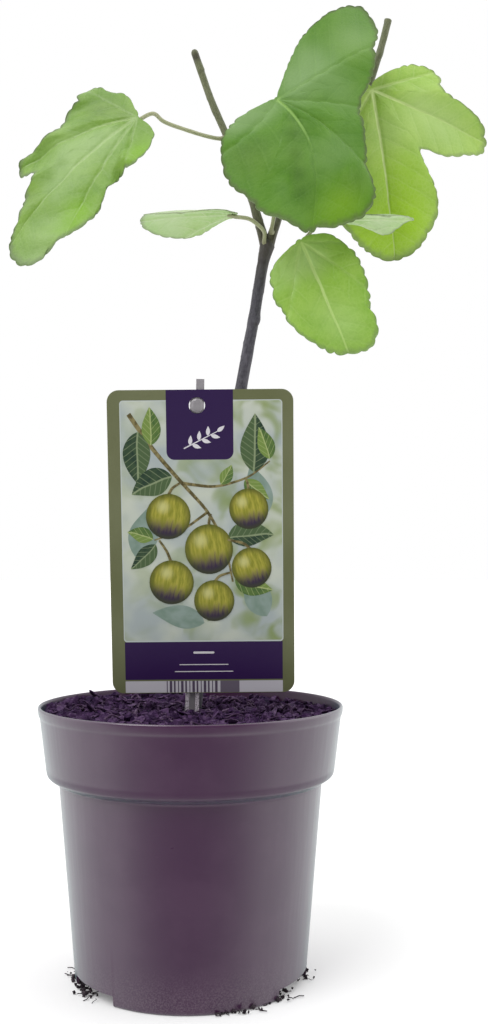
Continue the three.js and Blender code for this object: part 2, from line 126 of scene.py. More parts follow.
def ripples(points, size, seed):
    """A smooth random field of about -1 to 1, with bumps about that size."""
    rng = np.random.default_rng(seed)
    points = np.asarray(points, float)
    ways = unit(rng.normal(size=(RIPPLE_WAVES, points.shape[-1])))
    ways *= rng.uniform(0.6, 1.5, (RIPPLE_WAVES, 1)) * math.pi / size
    starts = rng.uniform(0, 2 * math.pi, RIPPLE_WAVES)
    return np.sin(points @ ways.T + starts).sum(-1) * math.sqrt(2 / RIPPLE_WAVES) * 0.6


def hump(values, middle, width):
    """1 at the middle, falling smoothly to 0 over about that width."""
    return np.exp(-(((values - middle) / width) ** 2))


def on_circle(turns):
    """Places on a circle of radius 1, at turns in radians."""
    return np.stack([np.cos(turns), np.sin(turns)], -1)


def circle(count):
    """Even turns round a circle, and the places there."""
    turns = np.linspace(0, 2 * math.pi, count, endpoint=False)
    return turns, on_circle(turns)


print("soft step at 0.25:", float(smooth_step(0.25, 0, 1)))

# %% Do sums with shader sockets


class Value:
    """A socket to do sums with. Each sum adds a Math node to the socket's own tree."""

    def __init__(self, socket):
        self.socket = socket
        self.tree = socket.id_data

    def __add__(self, other):
        return maths("ADD", self, other)

    def __sub__(self, other):
        return maths("SUBTRACT", self, other)

    def __rsub__(self, other):
        return maths("SUBTRACT", other, self)

    def __mul__(self, other):
        return maths("MULTIPLY", self, other)

    def __truediv__(self, other):
        return maths("DIVIDE", self, other)

    def __abs__(self):
        return maths("ABSOLUTE", self)

    __radd__, __rmul__ = __add__, __mul__


def feed(node, values):
    """Links or sets a node's inputs."""
    for key, value in dict(values).items():
        if isinstance(value, Value):
            node.id_data.links.new(value.socket, node.inputs[key])
        else:
            node.inputs[key].default_value = value


def new_node(tree, kind, values=(), out=0, **settings):
    """Adds a shader node, sets its options, feeds its inputs and gives one of its outputs."""
    node = tree.nodes.new("ShaderNode" + kind)
    for key, value in settings.items():
        setattr(node, key, value)
    feed(node, values)
    return Value(node.outputs[out])


def maths(operation, *values):
    """The answer of one Math node."""
    tree = next(value.tree for value in values if isinstance(value, Value))
    return new_node(tree, "Math", enumerate(values), operation=operation)


def vector(operation, *values, out=0):
    """The answer of one Vector Math node."""
    return new_node(values[0].tree, "VectorMath", enumerate(values), out, operation=operation)


def split(place):
    """The three parts of a place."""
    node = new_node(place.tree, "SeparateXYZ", {0: place}).socket.node
    return [Value(part) for part in node.outputs]


# %% Name the shader effects that come back often


def step(value, low, high, start=0.0, end=1.0):
    """start below low, end above high, and a soft ramp between them."""
    values = {"Value": value, "From Min": low, "From Max": high, "To Min": start, "To Max": end}
    return new_node(value.tree, "MapRange", values, interpolation_type="SMOOTHSTEP")


def tint(amount, under, over):
    """One colour laid over another by an amount."""
    return new_node(amount.tree, "Mix", {0: amount, 6: under, 7: over}, 2, data_type="RGBA")


def noise(place, scale, detail=3.0, roughness=0.55, distortion=0.0):
    """A cloudy value round 0.5. scale is lumps for each unit of the place it is given."""
    return new_node(place.tree, "TexNoise", {
        "Vector": place, "Scale": scale, "Detail": detail, "Roughness": roughness,
        "Distortion": distortion})


def stretched(place, *amounts):
    """A place scaled differently each way, for grain that runs one way."""
    return vector("MULTIPLY", place, amounts)


def object_place(tree):
    """The object's own coordinates, in mm."""
    return stretched(new_node(tree, "TexCoord", out="Object"), 1 / MM, 1 / MM, 1 / MM)


def flat_place(tree, name):
    """Flat coordinates that the mesh carries."""
    return new_node(tree, "UVMap", uv_map=name)


def attribute(tree, name):
    """A number that the mesh carries at each point."""
    return new_node(tree, "Attribute", out="Fac", attribute_name=name)


# %% Groups, colours and materials
ORIGIN = (0.0, 0.0, 0.0)
GREY = [0.2, 0.2, 0.2, 1.0]  # a group's colours before a material gives its own


def new_group(name, inputs, outputs=("Color", "Roughness", "Height")):
    """An empty shader group: its tree and its inputs to read."""
    tree = bpy.data.node_groups.new(name, "ShaderNodeTree")
    for label, value in inputs.items():
        kind = {float: "Float", tuple: "Vector", list: "Color"}[type(value)]
        made = tree.interface.new_socket(label, in_out="INPUT", socket_type="NodeSocket" + kind)
        made.default_value = value
    for label in outputs:
        kind = "Color" if label == "Color" else "Float"
        tree.interface.new_socket(label, in_out="OUTPUT", socket_type="NodeSocket" + kind)
    given = tree.nodes.new("NodeGroupInput").outputs
    return tree, {label: Value(given[label]) for label in inputs}


def end_group(tree, **results):
    """Feeds the results to the group's outputs and gives the finished group."""
    feed(tree.nodes.new("NodeGroupOutput"), results)
    return tree


def use_group(tree, group, values):
    """Places a group in a material and gives its outputs."""
    node = tree.nodes.new("ShaderNodeGroup")
    node.node_tree = group
    feed(node, values)
    return {socket.name: Value(socket) for socket in node.outputs}


STUDIO_GAIN = 1.4  # a surface shows this much brighter than its base colour
GLOSS_LIGHT = 0.02  # and its gloss adds this


def colour(red, green, blue):
    """The linear base colour that shows in this studio as a screen colour of 0 to 255."""
    shares = np.array([red, green, blue]) / 255
    linear = np.where(shares <= 0.04045, shares / 12.92, ((shares + 0.055) / 1.055) ** 2.4)
    return [*((linear - GLOSS_LIGHT) / STUDIO_GAIN).clip(0.0015).tolist(), 1.0]


def new_material(name):
    """An empty material: itself, its tree and its Principled shader."""
    material = bpy.data.materials.new(name)
    material.use_nodes = True
    return material, material.node_tree, material.node_tree.nodes["Principled BSDF"]


def finish_shader(shader, skin, relief=1.0, **constants):
    """Feeds a group's colour, roughness and height to the shader, and sets its plain values."""
    bump = new_node(shader.id_data, "Bump",
                    {"Height": skin["Height"], "Distance": MM, "Strength": relief})
    feed(shader, {"Base Color": skin["Color"], "Roughness": skin["Roughness"], "Normal": bump})
    feed(shader, {label.replace("_", " "): value for label, value in constants.items()})


print("plum in linear light:", [round(value, 3) for value in colour(75, 52, 75)])

# %% [markdown]
# ## Studio
# The plant stands on a pale floor in soft light, as if in a white tent. White walls at the back
# and sides do most of the lighting, and they are what the plastic mirrors along its sides.
# In front the room is dim, so the middle of the pot stays dark. The world's nodes do all of that
# with a few ramps. One wide soft lamp, in front, above and to the left, shows the folds of the
# leaves.

# %% Make the floor, the world and the lamp
FLOOR_RADIUS = 8000
FLOOR_GLOW = 0.17  # a lit table, which keeps the plant's shadow pale
FRONT_LIGHT, WALL_LIGHT, BACK_LIGHT = 0.45, 1.75, 1.15  # where the background's white is 1
LEFT_SHARE, RIGHT_SHARE = 0.88, 1.13  # of the walls' light
SUN_LIGHT = 1.6
SUN_WAY = (1.0, 1.1, -1.8)
SUN_ANGLE = 35  # degrees across, for soft shadows


def make_floor():
    ring = np.pad(circle(128)[1], ((0, 0), (0, 1))) * FLOOR_RADIUS
    floor = add_mesh("floor", ring, [list(range(len(ring)))])
    material, _, shader = new_material("studio_floor")
    feed(shader, {"Base Color": colour(243, 243, 243), "Roughness": 0.8,
                  "Emission Color": (1, 1, 1, 1), "Emission Strength": FLOOR_GLOW})
    floor.data.materials.append(material)


def make_world():
    """Light from all round, dim in front, with a white background for the camera alone."""
    world = bpy.data.worlds.new("studio")
    world.use_nodes = True
    tree = world.node_tree
    across, ahead, _ = split(new_node(tree, "TexCoord", out="Generated"))
    walls = step(ahead, -0.95, -0.05, FRONT_LIGHT, WALL_LIGHT)
    walls += step(ahead, 0.1, 0.9, 0.0, BACK_LIGHT - WALL_LIGHT)
    walls *= step(across, -1.0, 1.0, LEFT_SHARE, RIGHT_SHARE)
    seen = new_node(tree, "LightPath", out="Is Camera Ray")
    light = new_node(tree, "Mix", {0: seen, 2: walls, 3: 1.0})
    feed(tree.nodes["Background"], {"Color": (1, 1, 1, 1), "Strength": light})
    bpy.context.scene.world = world


def make_sun():
    """The one lamp: a wide sun, which lights the same way everywhere."""
    data = bpy.data.lights.new("top_light", "SUN")
    data.energy, data.angle = SUN_LIGHT, math.radians(SUN_ANGLE)
    sun = add("top_light", data)
    sun.rotation_euler = Vector(SUN_WAY).to_track_quat("-Z", "Y").to_euler()
    sun.visible_camera = False


make_floor()
make_world()
make_sun()
bpy.context.scene.view_settings.view_transform = "Standard"
print("floor radius in mm:", FLOOR_RADIUS, "wall light:", WALL_LIGHT)

# %% [markdown]
# ## Mesh helpers
# Nearly everything here is one of three forms: a tube along a curve, a section turned round an
# upright axis, or an outline given a thickness. Each helper works out points and faces as
# arrays, and one function turns them into an object, gives it its finish, hangs it on the body
# it rides on and hides the CAD node that it stands for.

# %% Turn arrays into a finished piece


def place_labels(mesh, labels):
    """Writes flat coordinates that a finish reads: one pair for each corner of each face."""
    corners = np.zeros(len(mesh.loops), np.int32)
    mesh.loops.foreach_get("vertex_index", corners)
    for name, values in labels.items():
        values = np.asarray(values, np.float32)
        if values.ndim == 1:
            mesh.attributes.new(name, "FLOAT", "POINT").data.foreach_set("value", values)
            continue
        if len(values) != len(corners):
            values = values[corners]
        layer = mesh.uv_layers.new(name=name)
        layer.data.foreach_set("uv", np.ascontiguousarray(values).ravel())


def make_piece(name, points, faces, finishes, slot, node="", labels=(), kinds=None, crease=None):
    """A mesh object from points in mm, riding on the plant's one body."""
    piece = add_mesh(name, points, faces)
    mesh = piece.data
    mesh.update()
    for finish in finishes if isinstance(finishes, list) else [finishes]:
        mesh.materials.append(finish)
    if kinds is not None:
        mesh.polygons.foreach_set("material_index", np.asarray(kinds, np.int32))
    mesh.polygons.foreach_set("use_smooth", np.ones(len(mesh.polygons), bool))
    if crease is not None:
        mesh.set_sharp_from_angle(angle=math.radians(crease))
    place_labels(mesh, dict(labels))
    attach(piece, "root")
    if node:
        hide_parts(node)
    mesh.calc_loop_triangles()
    print(name, "-", len(mesh.vertices), "points,", len(mesh.loop_triangles), "triangles")
    return piece


# %% Join rows of points into faces


def grid_faces(rows, columns):
    """Quads between rows of points, with each row closed into a ring."""
    row, column = np.meshgrid(np.arange(rows - 1), np.arange(columns), indexing="ij")
    here = row * columns + column
    following = row * columns + (column + 1) % columns
    quads = np.stack([here, following, following + columns, here + columns], -1)
    return quads.reshape(-1, 4)


def cap_faces(start, columns, flip):
    """One face that closes a row of points."""
    row = list(range(start, start + columns))
    return [row[::-1] if flip else row]


def joined(*parts):
    """Several lots of points and faces as one."""
    points, faces = [], []
    for part_points, part_faces in parts:
        start = sum(map(len, points))
        faces += [[corner + start for corner in face] for face in part_faces]
        points.append(part_points)
    return np.vstack(points), faces


def closed_rings(rings, low, high):
    """Rings of points, closed by fans to the heights low and high on the upright axis."""
    rows, sides = rings.shape[:2]
    points = np.vstack([rings.reshape(-1, 3), [[0, 0, low], [0, 0, high]]])
    faces = grid_faces(rows, sides).tolist()
    last = (rows - 1) * sides
    for side in range(sides):
        following = (side + 1) % sides
        faces.append([len(points) - 2, following, side])
        faces.append([len(points) - 1, last + side, last + following])
    return points, faces


def at_height(flat, heights):
    """Flat places lifted to a height, or to a height each."""
    return np.column_stack([flat, np.broadcast_to(heights, len(flat))])


def prism(section, low, high):
    """A closed block with that section, from the height low to the height high."""
    count = len(section)
    points = np.vstack([at_height(section, level) for level in (low, high)])
    faces = [list(range(count))[::-1], list(range(count, 2 * count))]
    faces += [[i, (i + 1) % count, (i + 1) % count + count, i + count] for i in range(count)]
    return points, faces


# %% Turn a section round an axis
EASE_STEPS = 4  # straight pieces in each rounded corner


def eased(section, ease):
    """A section whose corners are rounded: each corner gives way to a short curve."""
    section = np.asarray(section, float)
    rounded = [section[0]]
    for before, corner, after, amount in zip(section, section[1:], section[2:], ease[1:]):
        if amount <= 0:
            rounded.append(corner)
            continue
        reach_in = min(amount, 0.49 * np.linalg.norm(before - corner))
        reach_out = min(amount, 0.49 * np.linalg.norm(after - corner))
        start = corner + unit(before - corner) * reach_in
        end = corner + unit(after - corner) * reach_out
        for share in np.linspace(0, 1, EASE_STEPS + 1):
            rounded.append((1 - share) ** 2 * start + 2 * share * (1 - share) * corner
                           + share ** 2 * end)
    rounded.append(section[-1])
    return np.array(rounded)


def turned(section, sides):
    """A section of radii and heights turned round the upright axis, from axis to axis."""
    rings = [at_height(circle(sides)[1] * radius, height) for radius, height in section[1:-1]]
    return closed_rings(np.array(rings), section[0, 1], section[-1, 1])


print("a square of four rows has", len(grid_faces(4, 4)), "quads round it")

# %% [markdown]
# ## Curves and tubes
# Stems, shoots and stalks are tapering tubes. Blender's own curve with a bevel could make them,
# but bark needs rings, scars and ridges, so the tube is made as a grid of points: the curve
# gives the middle of each ring, and a relief function adds to the radius at each place. The
# curve is the same centripetal one that the CAD uses, so the tube lies where the CAD solid is.

# %% Make curves and tubes
DOME_SHARES = (0.35, 0.65, 0.88)  # of the way over a tube's rounded end


def walked(line):
    """How far along a line each of its points lies."""
    strides = np.linalg.norm(np.diff(line, axis=0), axis=1)
    return np.concatenate([[0], np.cumsum(strides)])


def limb_curve(stations, steps):
    """Middles and radii along a limb, from its stations of x, y, z and radius."""
    stations = np.asarray(stations, float)
    middles = stations[:, :3]
    padded = np.vstack([2 * middles[0] - middles[1], middles, 2 * middles[-1] - middles[-2]])
    shares = np.linspace(0, 1, steps, endpoint=False)[:, None]
    runs = []
    for first, start, end, last in zip(padded, padded[1:], padded[2:], padded[3:]):
        before, bend, after = start - first, end - start, last - end
        gap_in, gap, gap_out = (np.linalg.norm(way) ** 0.5 for way in (before, bend, after))
        leave = (before / gap_in - (end - first) / (gap_in + gap) + bend / gap) * gap
        arrive = (bend / gap - (last - start) / (gap + gap_out) + after / gap_out) * gap
        runs.append(start + leave * shares + (3 * bend - 2 * leave - arrive) * shares ** 2
                    + (leave + arrive - 2 * bend) * shares ** 3)
    curve = np.vstack([*runs, middles[-1:]])
    stops = np.linspace(0, len(stations) - 1, len(curve))
    return curve, np.interp(stops, range(len(stations)), stations[:, 3])


def evenly(curve, radii, gap):
    """The same curve with its points an even distance apart."""
    lengths = walked(curve)
    places = np.linspace(0, lengths[-1], max(3, round(lengths[-1] / gap) + 1))
    middles = np.stack([np.interp(places, lengths, values) for values in curve.T], 1)
    return middles, np.interp(places, lengths, radii), places


def tube(curve, radii, gap, sides, relief=None, dome=(0.4, 0.4)):
    """A closed tube. dome is how far each end bulges, in radii. Gives points, faces and labels."""
    middles, radii, places = evenly(curve, radii, gap)
    along = unit(np.gradient(middles, axis=0))
    turns, turn_places = circle(sides)
    across = np.array([0.0, 1.0, 0.0])
    outward = []
    for way in along:
        across = unit(across - way * (across @ way))
        outward.append(turn_places @ [across, np.cross(way, across)])
    reach = np.repeat(radii[:, None], sides, 1)
    if relief is not None:
        reach = reach + relief(places[:, None], turns[None], radii[:, None])
    rings = middles[:, None] + np.array(outward) * reach[..., None]
    caps = []
    for end, bulge in ((0, -dome[0]), (-1, dome[1])):
        cap = []
        for turn in np.multiply(DOME_SHARES, math.pi / 2):
            lift = middles[end] + along[end] * radii[end] * bulge * math.sin(turn)
            cap.append(lift + (rings[end] - middles[end]) * math.cos(turn))
        caps.append(cap)
    rows = np.array([*caps[0][::-1], *rings, *caps[1]])
    runs = np.pad(places, len(DOME_SHARES), mode="edge")
    faces = grid_faces(len(rows), sides).tolist()
    faces += cap_faces(0, sides, True) + cap_faces((len(rows) - 1) * sides, sides, False)
    labels = {"bark_turn": np.tile(turn_places, (len(rows), 1)),
              "bark_run": np.repeat(runs, sides)}
    return rows.reshape(-1, 3), faces, labels


LIMBS = {
    "stem": [[0.2, 10.5, 107.8, 4.7], [0.3, 10.5, 111, 3.8], [1.3, 10.5, 118, 3.5],
             [10.3, 10.8, 182, 3.2], [21.4, 11, 252.2, 2.6], [26.4, 12, 279.4, 2.5],
             [31.2, 12.6, 308, 2.5], [32.9, 13, 315.3, 3.3]],
    "shoot_left": [[32.3, 13, 314.2, 2.4], [30.9, 13, 319.7, 2.1], [26.7, 14, 334.4, 1.8],
                   [20.9, 16, 351.4, 1.7], [14.2, 17, 366.9, 1.6], [7.6, 17, 382.3, 1.55],
                   [0.9, 16, 401.5, 1.6]],
    "shoot_right": [[33.5, 13, 314.2, 2.4], [34.9, 13, 319.3, 2.1], [37.3, 16, 326.6, 1.8],
                    [39.8, 23, 336.5, 1.8], [45.7, 32, 350.2, 1.7], [62.5, 38, 371.7, 1.7],
                    [78.2, 40, 391.6, 1.6], [85.7, 40, 412.3, 1.6], [89.5, 39, 426.7, 1.65]],
}
CURVES = {name: limb_curve(stations, 24) for name, stations in LIMBS.items()}
for name, (curve, _) in CURVES.items():
    print(name, "is", round(float(walked(curve)[-1]), 1), "mm long")

# %% [markdown]
# ## The finish of a fig blade
# A fig leaf is rough and only a little glossy. Pale main veins fan out from the stalk, side veins
# leave them like the bones of a herring, and a fine net fills the space between. Drawing those
# lines on the mesh would take millions of faces, so the mesh carries only two flat coordinates:
# where a point lies on the blade, and how far it is along and across its nearest main vein. The
# shader draws the lines from them, always crisp. It is one group, because the upper and under
# side of all seven leaves use it, each with its own colours and its own depth of relief.

# %% Build the blade's shader group
SIDE_VEIN_GAP = 8.5  # mm along the main vein
SIDE_VEIN_LEAN = 0.75  # mm along for each mm across
NET_CELL = 1.9  # mm


def make_blade_group():
    """The skin of a leaf, in mm on the blade, with painted glow, painted sheen and painted shade.
    """
    tree, give = new_group("fig_blade_skin", {
        "Blade place": ORIGIN, "Vein place": ORIGIN, "Margin": 0.0, "Painted_glow": 0.0, "Painted_sheen_and_shade": 0.0,
        "Vein show": 1.0, "Deep": GREY, "Light": GREY, "Vein": GREY, "Painted glow colour": GREY,
        "Painted sheen colour": GREY, "Edge": GREY, "Side veins": 0.3, "Net": 0.1, "Raised": -1.0,
        "Base roughness": 0.42})
    place, side_show = give["Blade place"], give["Side veins"]
    run, offset, _ = split(give["Vein place"])
    wander = noise(place, 0.11, 2.0) * 3.0 - 1.5
    along = run + wander
    across = abs(wander * 0.25 + offset)
    # main vein: a line that narrows towards the margin
    widths = across / step(along, 0.0, 85.0, 0.75, 0.16)
    main = step(widths, 0.5, 1.5, 1.0, 0.0)
    groove = step(widths, 0.4, 3.6, 1.0, 0.0)
    # side veins: a chevron, half a step apart on the two sides of the main vein
    lean = along - across * SIDE_VEIN_LEAN
    shift = maths("LESS_THAN", offset, 0.0) * 0.5
    phase = maths("FRACT", lean / SIDE_VEIN_GAP + shift)
    off_line = abs(phase - 0.5) * SIDE_VEIN_GAP
    started = step(lean, 1.0, 6.0)
    side = step(off_line, 0.12, 0.75, 1.0, 0.0) * started
    side_groove = step(off_line, 0.1, 2.2, 1.0, 0.0) * started
    # the fine net between them
    drift = new_node(tree, "TexNoise", {"Vector": place, "Scale": 0.5}, "Color")
    cells = new_node(tree, "TexVoronoi", {
        "Vector": vector("ADD", place, drift), "Scale": 1 / NET_CELL, "Randomness": 1.0,
    }, "Distance", feature="DISTANCE_TO_EDGE")
    net = step(cells, 0.0, 0.2, 1.0, 0.0)
    # cloudy colour with painted shade along the side-vein grooves, then painted glow of light
    # through the leaf, painted sheen and painted shade, then veins, then the margin
    clouds = step(noise(place, 0.05, 4.0, 0.6), 0.32, 0.68)
    specks = noise(place, 1.1, 3.0)
    # the side-vein grooves are painted darker here: painted shade of the quilting, besides their
    # relief
    cushion = clouds * 0.7 + specks * 0.3 - side_groove * 0.2
    skin = tint(cushion, give["Deep"], give["Light"])
    # painted glow: a patch of yellow-green light shining through the leaf
    skin = tint(give["Painted_glow"], skin, give["Painted glow colour"])
    # painted sheen above 0, and below 0 painted shade that darkens the colour
    skin = tint(maths("MAXIMUM", give["Painted_sheen_and_shade"], 0.0), skin, give["Painted sheen colour"])
    painted_shade_scale = maths("MINIMUM", give["Painted_sheen_and_shade"], 0.0) * 0.45 + 1.0
    skin = new_node(tree, "VectorMath", {0: skin, 3: painted_shade_scale}, operation="SCALE")
    patchy = step(noise(place, 0.12, 2.0), 0.3, 0.6, 0.35, 1.0)
    faint = patchy * step(along, 50.0, 8.0, 0.6, 1.0)
    for amount in (net * give["Net"] * patchy, side * side_show * faint,
                   main * give["Vein show"]):
        skin = tint(amount, skin, give["Vein"])
    rim = give["Margin"] + (noise(place, 0.4) * 0.06 - 0.03)
    skin = tint(step(rim, 0.94, 1.0) * 0.75, skin, give["Edge"])
    # veins are sunk above and raised below, and fine hairs roughen both sides
    deep = groove * maths("MAXIMUM", give["Vein show"], 0.3)
    lines = deep * 0.24 + net * 0.03 + side_groove * side_show * 0.35
    return end_group(tree, Color=skin,
                     Roughness=(specks - main) * 0.14 + give["Base roughness"],
                     Height=lines * give["Raised"] + noise(place, 2.6, 2.0) * 0.04)


BLADE_SKIN = make_blade_group()
print("blade group has", len(BLADE_SKIN.nodes), "nodes")

# %% Give each side of a leaf its material


def named(labels, shades):
    """A colour for each label."""
    return {label: colour(*shade) for label, shade in zip(labels, shades)}


def blade_material(name, shades, shine=0.35, sheen=0.05, **values):
    """A leaf side: places and patches of painted light and shade from the mesh, and its own values.
    """
    material, tree, shader = new_material(name)
    links = {"Blade place": flat_place(tree, "blade_place"),
             "Vein place": flat_place(tree, "vein_place"),
             "Vein show": attribute(tree, "vein_show")}
    links |= {label: attribute(tree, label.lower()) for label in ("Margin", "Painted_glow", "Painted_sheen_and_shade")}
    links |= {label.replace("_", " "): value for label, value in values.items()}
    links |= named(("Deep", "Light", "Vein", "Painted glow colour", "Painted sheen colour", "Edge"), shades)
    finish_shader(shader, use_group(tree, BLADE_SKIN, links), Specular_IOR_Level=shine,
                  Sheen_Weight=sheen, Sheen_Roughness=0.4)
    return material


# deep, light, vein, painted glow, painted sheen and edge colours of each upper side, then of
# the under sides
LEAF_COLOURS = {
    "front": [(84, 131, 44), (109, 153, 63), (154, 194, 106),
              (118, 162, 8), (135, 168, 108), (96, 108, 72)],
    "right": [(150, 192, 76), (178, 212, 100), (212, 234, 154),
              (170, 214, 58), (188, 216, 138), (134, 156, 98)],
    "left": [(106, 148, 46), (139, 176, 78), (182, 208, 140),
             (128, 176, 4), (163, 193, 126), (106, 122, 86)],
    "low": [(132, 178, 60), (160, 199, 88), (198, 228, 138),
            (150, 198, 50), (176, 210, 126), (122, 148, 90)],
    "small_left": [(160, 192, 120), (184, 208, 152), (206, 222, 176),
                   (170, 202, 110), (196, 212, 176), (134, 138, 112)],
    "small_right": [(160, 194, 116), (180, 206, 142), (200, 220, 166),
                    (166, 202, 100), (176, 200, 168), (136, 150, 108)],
    "back": [(84, 134, 50), (112, 160, 70), (156, 194, 110),
             (116, 164, 46), (128, 166, 102), (92, 120, 76)],
}
UNDER_COLOURS = [(148, 182, 112), (172, 200, 140), (198, 218, 166),
                 (164, 198, 96), (186, 206, 162), (140, 158, 118)]
YOUNG_UNDER = [(174, 214, 134), (198, 230, 160), (220, 238, 186),
               (188, 224, 116), (210, 232, 184), (158, 176, 134)]
UPPER_LOOKS = {
    "front": dict(shine=0.22, Net=0.05, Side_veins=0.12), "right": dict(Side_veins=0.22),
    "left": dict(Side_veins=0.14), "back": dict(Side_veins=0.3)}
UNDER_LOOK = dict(sheen=0.2, Raised=1.0, Net=0.25, Side_veins=0.5, Base_roughness=0.62)


def leaf_finishes(name):
    """The upper and the under side of one leaf."""
    upper_look = dict(Net=0.1, Side_veins=0.2) | UPPER_LOOKS.get(name, {})
    under = YOUNG_UNDER if name.startswith("small") else UNDER_COLOURS
    return [blade_material(f"leaf_{name}_upper", LEAF_COLOURS[name], **upper_look),
            blade_material(f"leaf_{name}_under", under, **UNDER_LOOK)]


print(len(LEAF_COLOURS), "leaves, each with an upper and an under finish")

# %% [markdown]
# ## Leaf blades
# A blade is worked out flat: its margin is given as how far it reaches in each direction from the
# stalk, as if a real leaf were laid on squared paper, and small blunt teeth stand square to it.
# The flat blade is then pleated between its main veins, folded, curled across and drooped along
# the midrib, as the CAD solid is. What the solid leaves out is added here: teeth, cushions
# between the side veins, a groove along each main vein above and a rib below, a wavy margin, and
# a real thickness of half a millimetre.

# %% Describe the leaves
BLADE_HEEL = 1.2  # mm that a blade reaches in every direction
PLEAT_GAP = 60  # degrees between two veins whose pleat has its full height
# each margin: direction in degrees from the midrib, then reach in mm
MARGINS = {
    "front": [
        (169, 1.6), (158, 7.3), (155, 14.6), (153, 25), (152, 35), (149, 41.7), (146, 48),
        (144, 54),
        (141, 60), (139, 66), (136, 69.4), (135, 71.2), (130, 68.6), (123, 64.4), (118, 57.8),
        (116, 53.6), (111, 52), (107, 49.1), (99, 44.2), (87, 37.5), (74, 35.9), (54, 41.7),
        (39, 49.2), (37, 54.2), (31, 61.5), (23, 65.5), (17, 64.5), (12, 63.8), (7, 61.5),
        (0, 63.5),
        (-8, 59.4), (-18, 57.7), (-24, 52.1), (-35, 48.5), (-42, 44.2), (-47, 40.2), (-56, 33.9),
        (-62, 28.9), (-66, 23.9), (-72, 15.3), (-76, 8.4), (-83, 4.6), (-110, 1.2)],
    "right": [
        (-120, 6), (-105, 18), (-90, 26), (-75, 31), (-60, 38), (-45, 50), (-35, 56), (-25, 60),
        (-16, 66.7), (-11, 71), (-7, 73.7), (-2, 77), (3, 77.3), (6, 76.3), (10, 74), (14, 69.8),
        (18, 66.5), (22, 62.9), (25, 57), (27, 50.7), (28, 44.6), (28.5, 38.5), (32, 33.8),
        (37, 36.8), (42, 44.2), (48, 49), (53, 52.7), (58, 59.4), (64, 59.8), (67, 57.6), (71, 55),
        (74, 51.1), (78, 44.3), (81, 37.2), (85, 33.2), (89, 32.1), (98, 33.8), (106, 32.7),
        (113, 29.7), (120, 24.4), (127, 16.9), (134, 12), (141, 8.5), (152, 5.9), (180, 1.5)],
    "left": [
        (-160, 1.2), (-128, 6), (-124, 12), (-118, 16.7), (-111, 20), (-105, 23.7), (-104, 27.6),
        (-101, 31.6), (-95, 34.8), (-89, 35.6), (-78, 31.6), (-69, 34.4), (-60, 35), (-52, 36.2),
        (-43, 40.7), (-38, 49), (-35, 54.8), (-31, 57.4), (-27, 56.5), (-24.5, 53), (-21, 49.7),
        (-17, 52.5), (-15.5, 58), (-10, 63.3), (-6.5, 70), (-5, 76), (-2, 82.2), (1, 83.8),
        (5, 84.7), (8, 82.3), (10, 78.6), (11, 73.5), (12, 67.5), (16, 64.1), (20, 60.3),
        (24, 53.5), (25, 47.8), (26, 40), (27, 34), (29, 31), (32, 28.2), (43, 26.6), (54, 21.9),
        (65, 17.6), (78, 14), (88, 8.6), (97, 3.5), (120, 1.2)],
    "low": [
        (150, 1.2), (113, 3.9), (95, 7.5), (86, 11.7), (75, 14.9), (60, 19), (51, 23.4), (41, 28),
        (34, 32.5), (27, 36.5), (23, 39.7), (19, 41.5), (18, 45), (16, 49.8), (12, 53.4), (8, 55.8),
        (5, 56.2), (1, 55.2), (-7, 53), (-11, 51.5), (-18, 46.6), (-26, 42.1), (-33, 37.6),
        (-40, 32), (-48, 29.8), (-55, 24.6), (-62, 22.4), (-67, 20.2), (-73, 17), (-78, 12),
        (-84, 7), (-100, 2.5)],
    "small_left": [
        (-90, 1.2), (-60, 5), (-50, 11.3), (-47, 16.7), (-44, 21.9), (-38, 26.2), (-32, 29.8),
        (-23, 36.2), (-17, 39.3), (-12, 41.3), (-6, 41.6), (0, 41), (6, 40.6), (12, 40.2),
        (17, 38.4), (23, 35.6), (32, 29.2), (38, 26), (44, 21.6), (47, 16.5), (50, 11.3), (60, 5),
        (90, 1.2)],
    "small_right": [
        (-110, 1.2), (-70, 4), (-45, 10), (-40, 15), (-37, 19), (-34, 22), (-28, 24), (-14, 26),
        (-6, 28), (0, 30), (6, 28), (14, 26), (28, 24), (34, 22), (37, 19), (40, 15), (45, 10),
        (70, 4), (110, 1.2)],
    "back": [
        (-150, 1.2), (-120, 9), (-105, 16), (-92, 19), (-80, 18), (-66, 19), (-55, 28), (-45, 32.5),
        (-38, 32), (-30, 28), (-23, 26), (-16, 31), (-10, 36), (0, 38.5), (10, 36), (16, 31),
        (23, 26), (30, 28), (40, 32), (47, 32), (55, 28), (66, 18), (80, 17), (92, 18), (105, 16),
        (120, 9), (150, 1.2)],
}
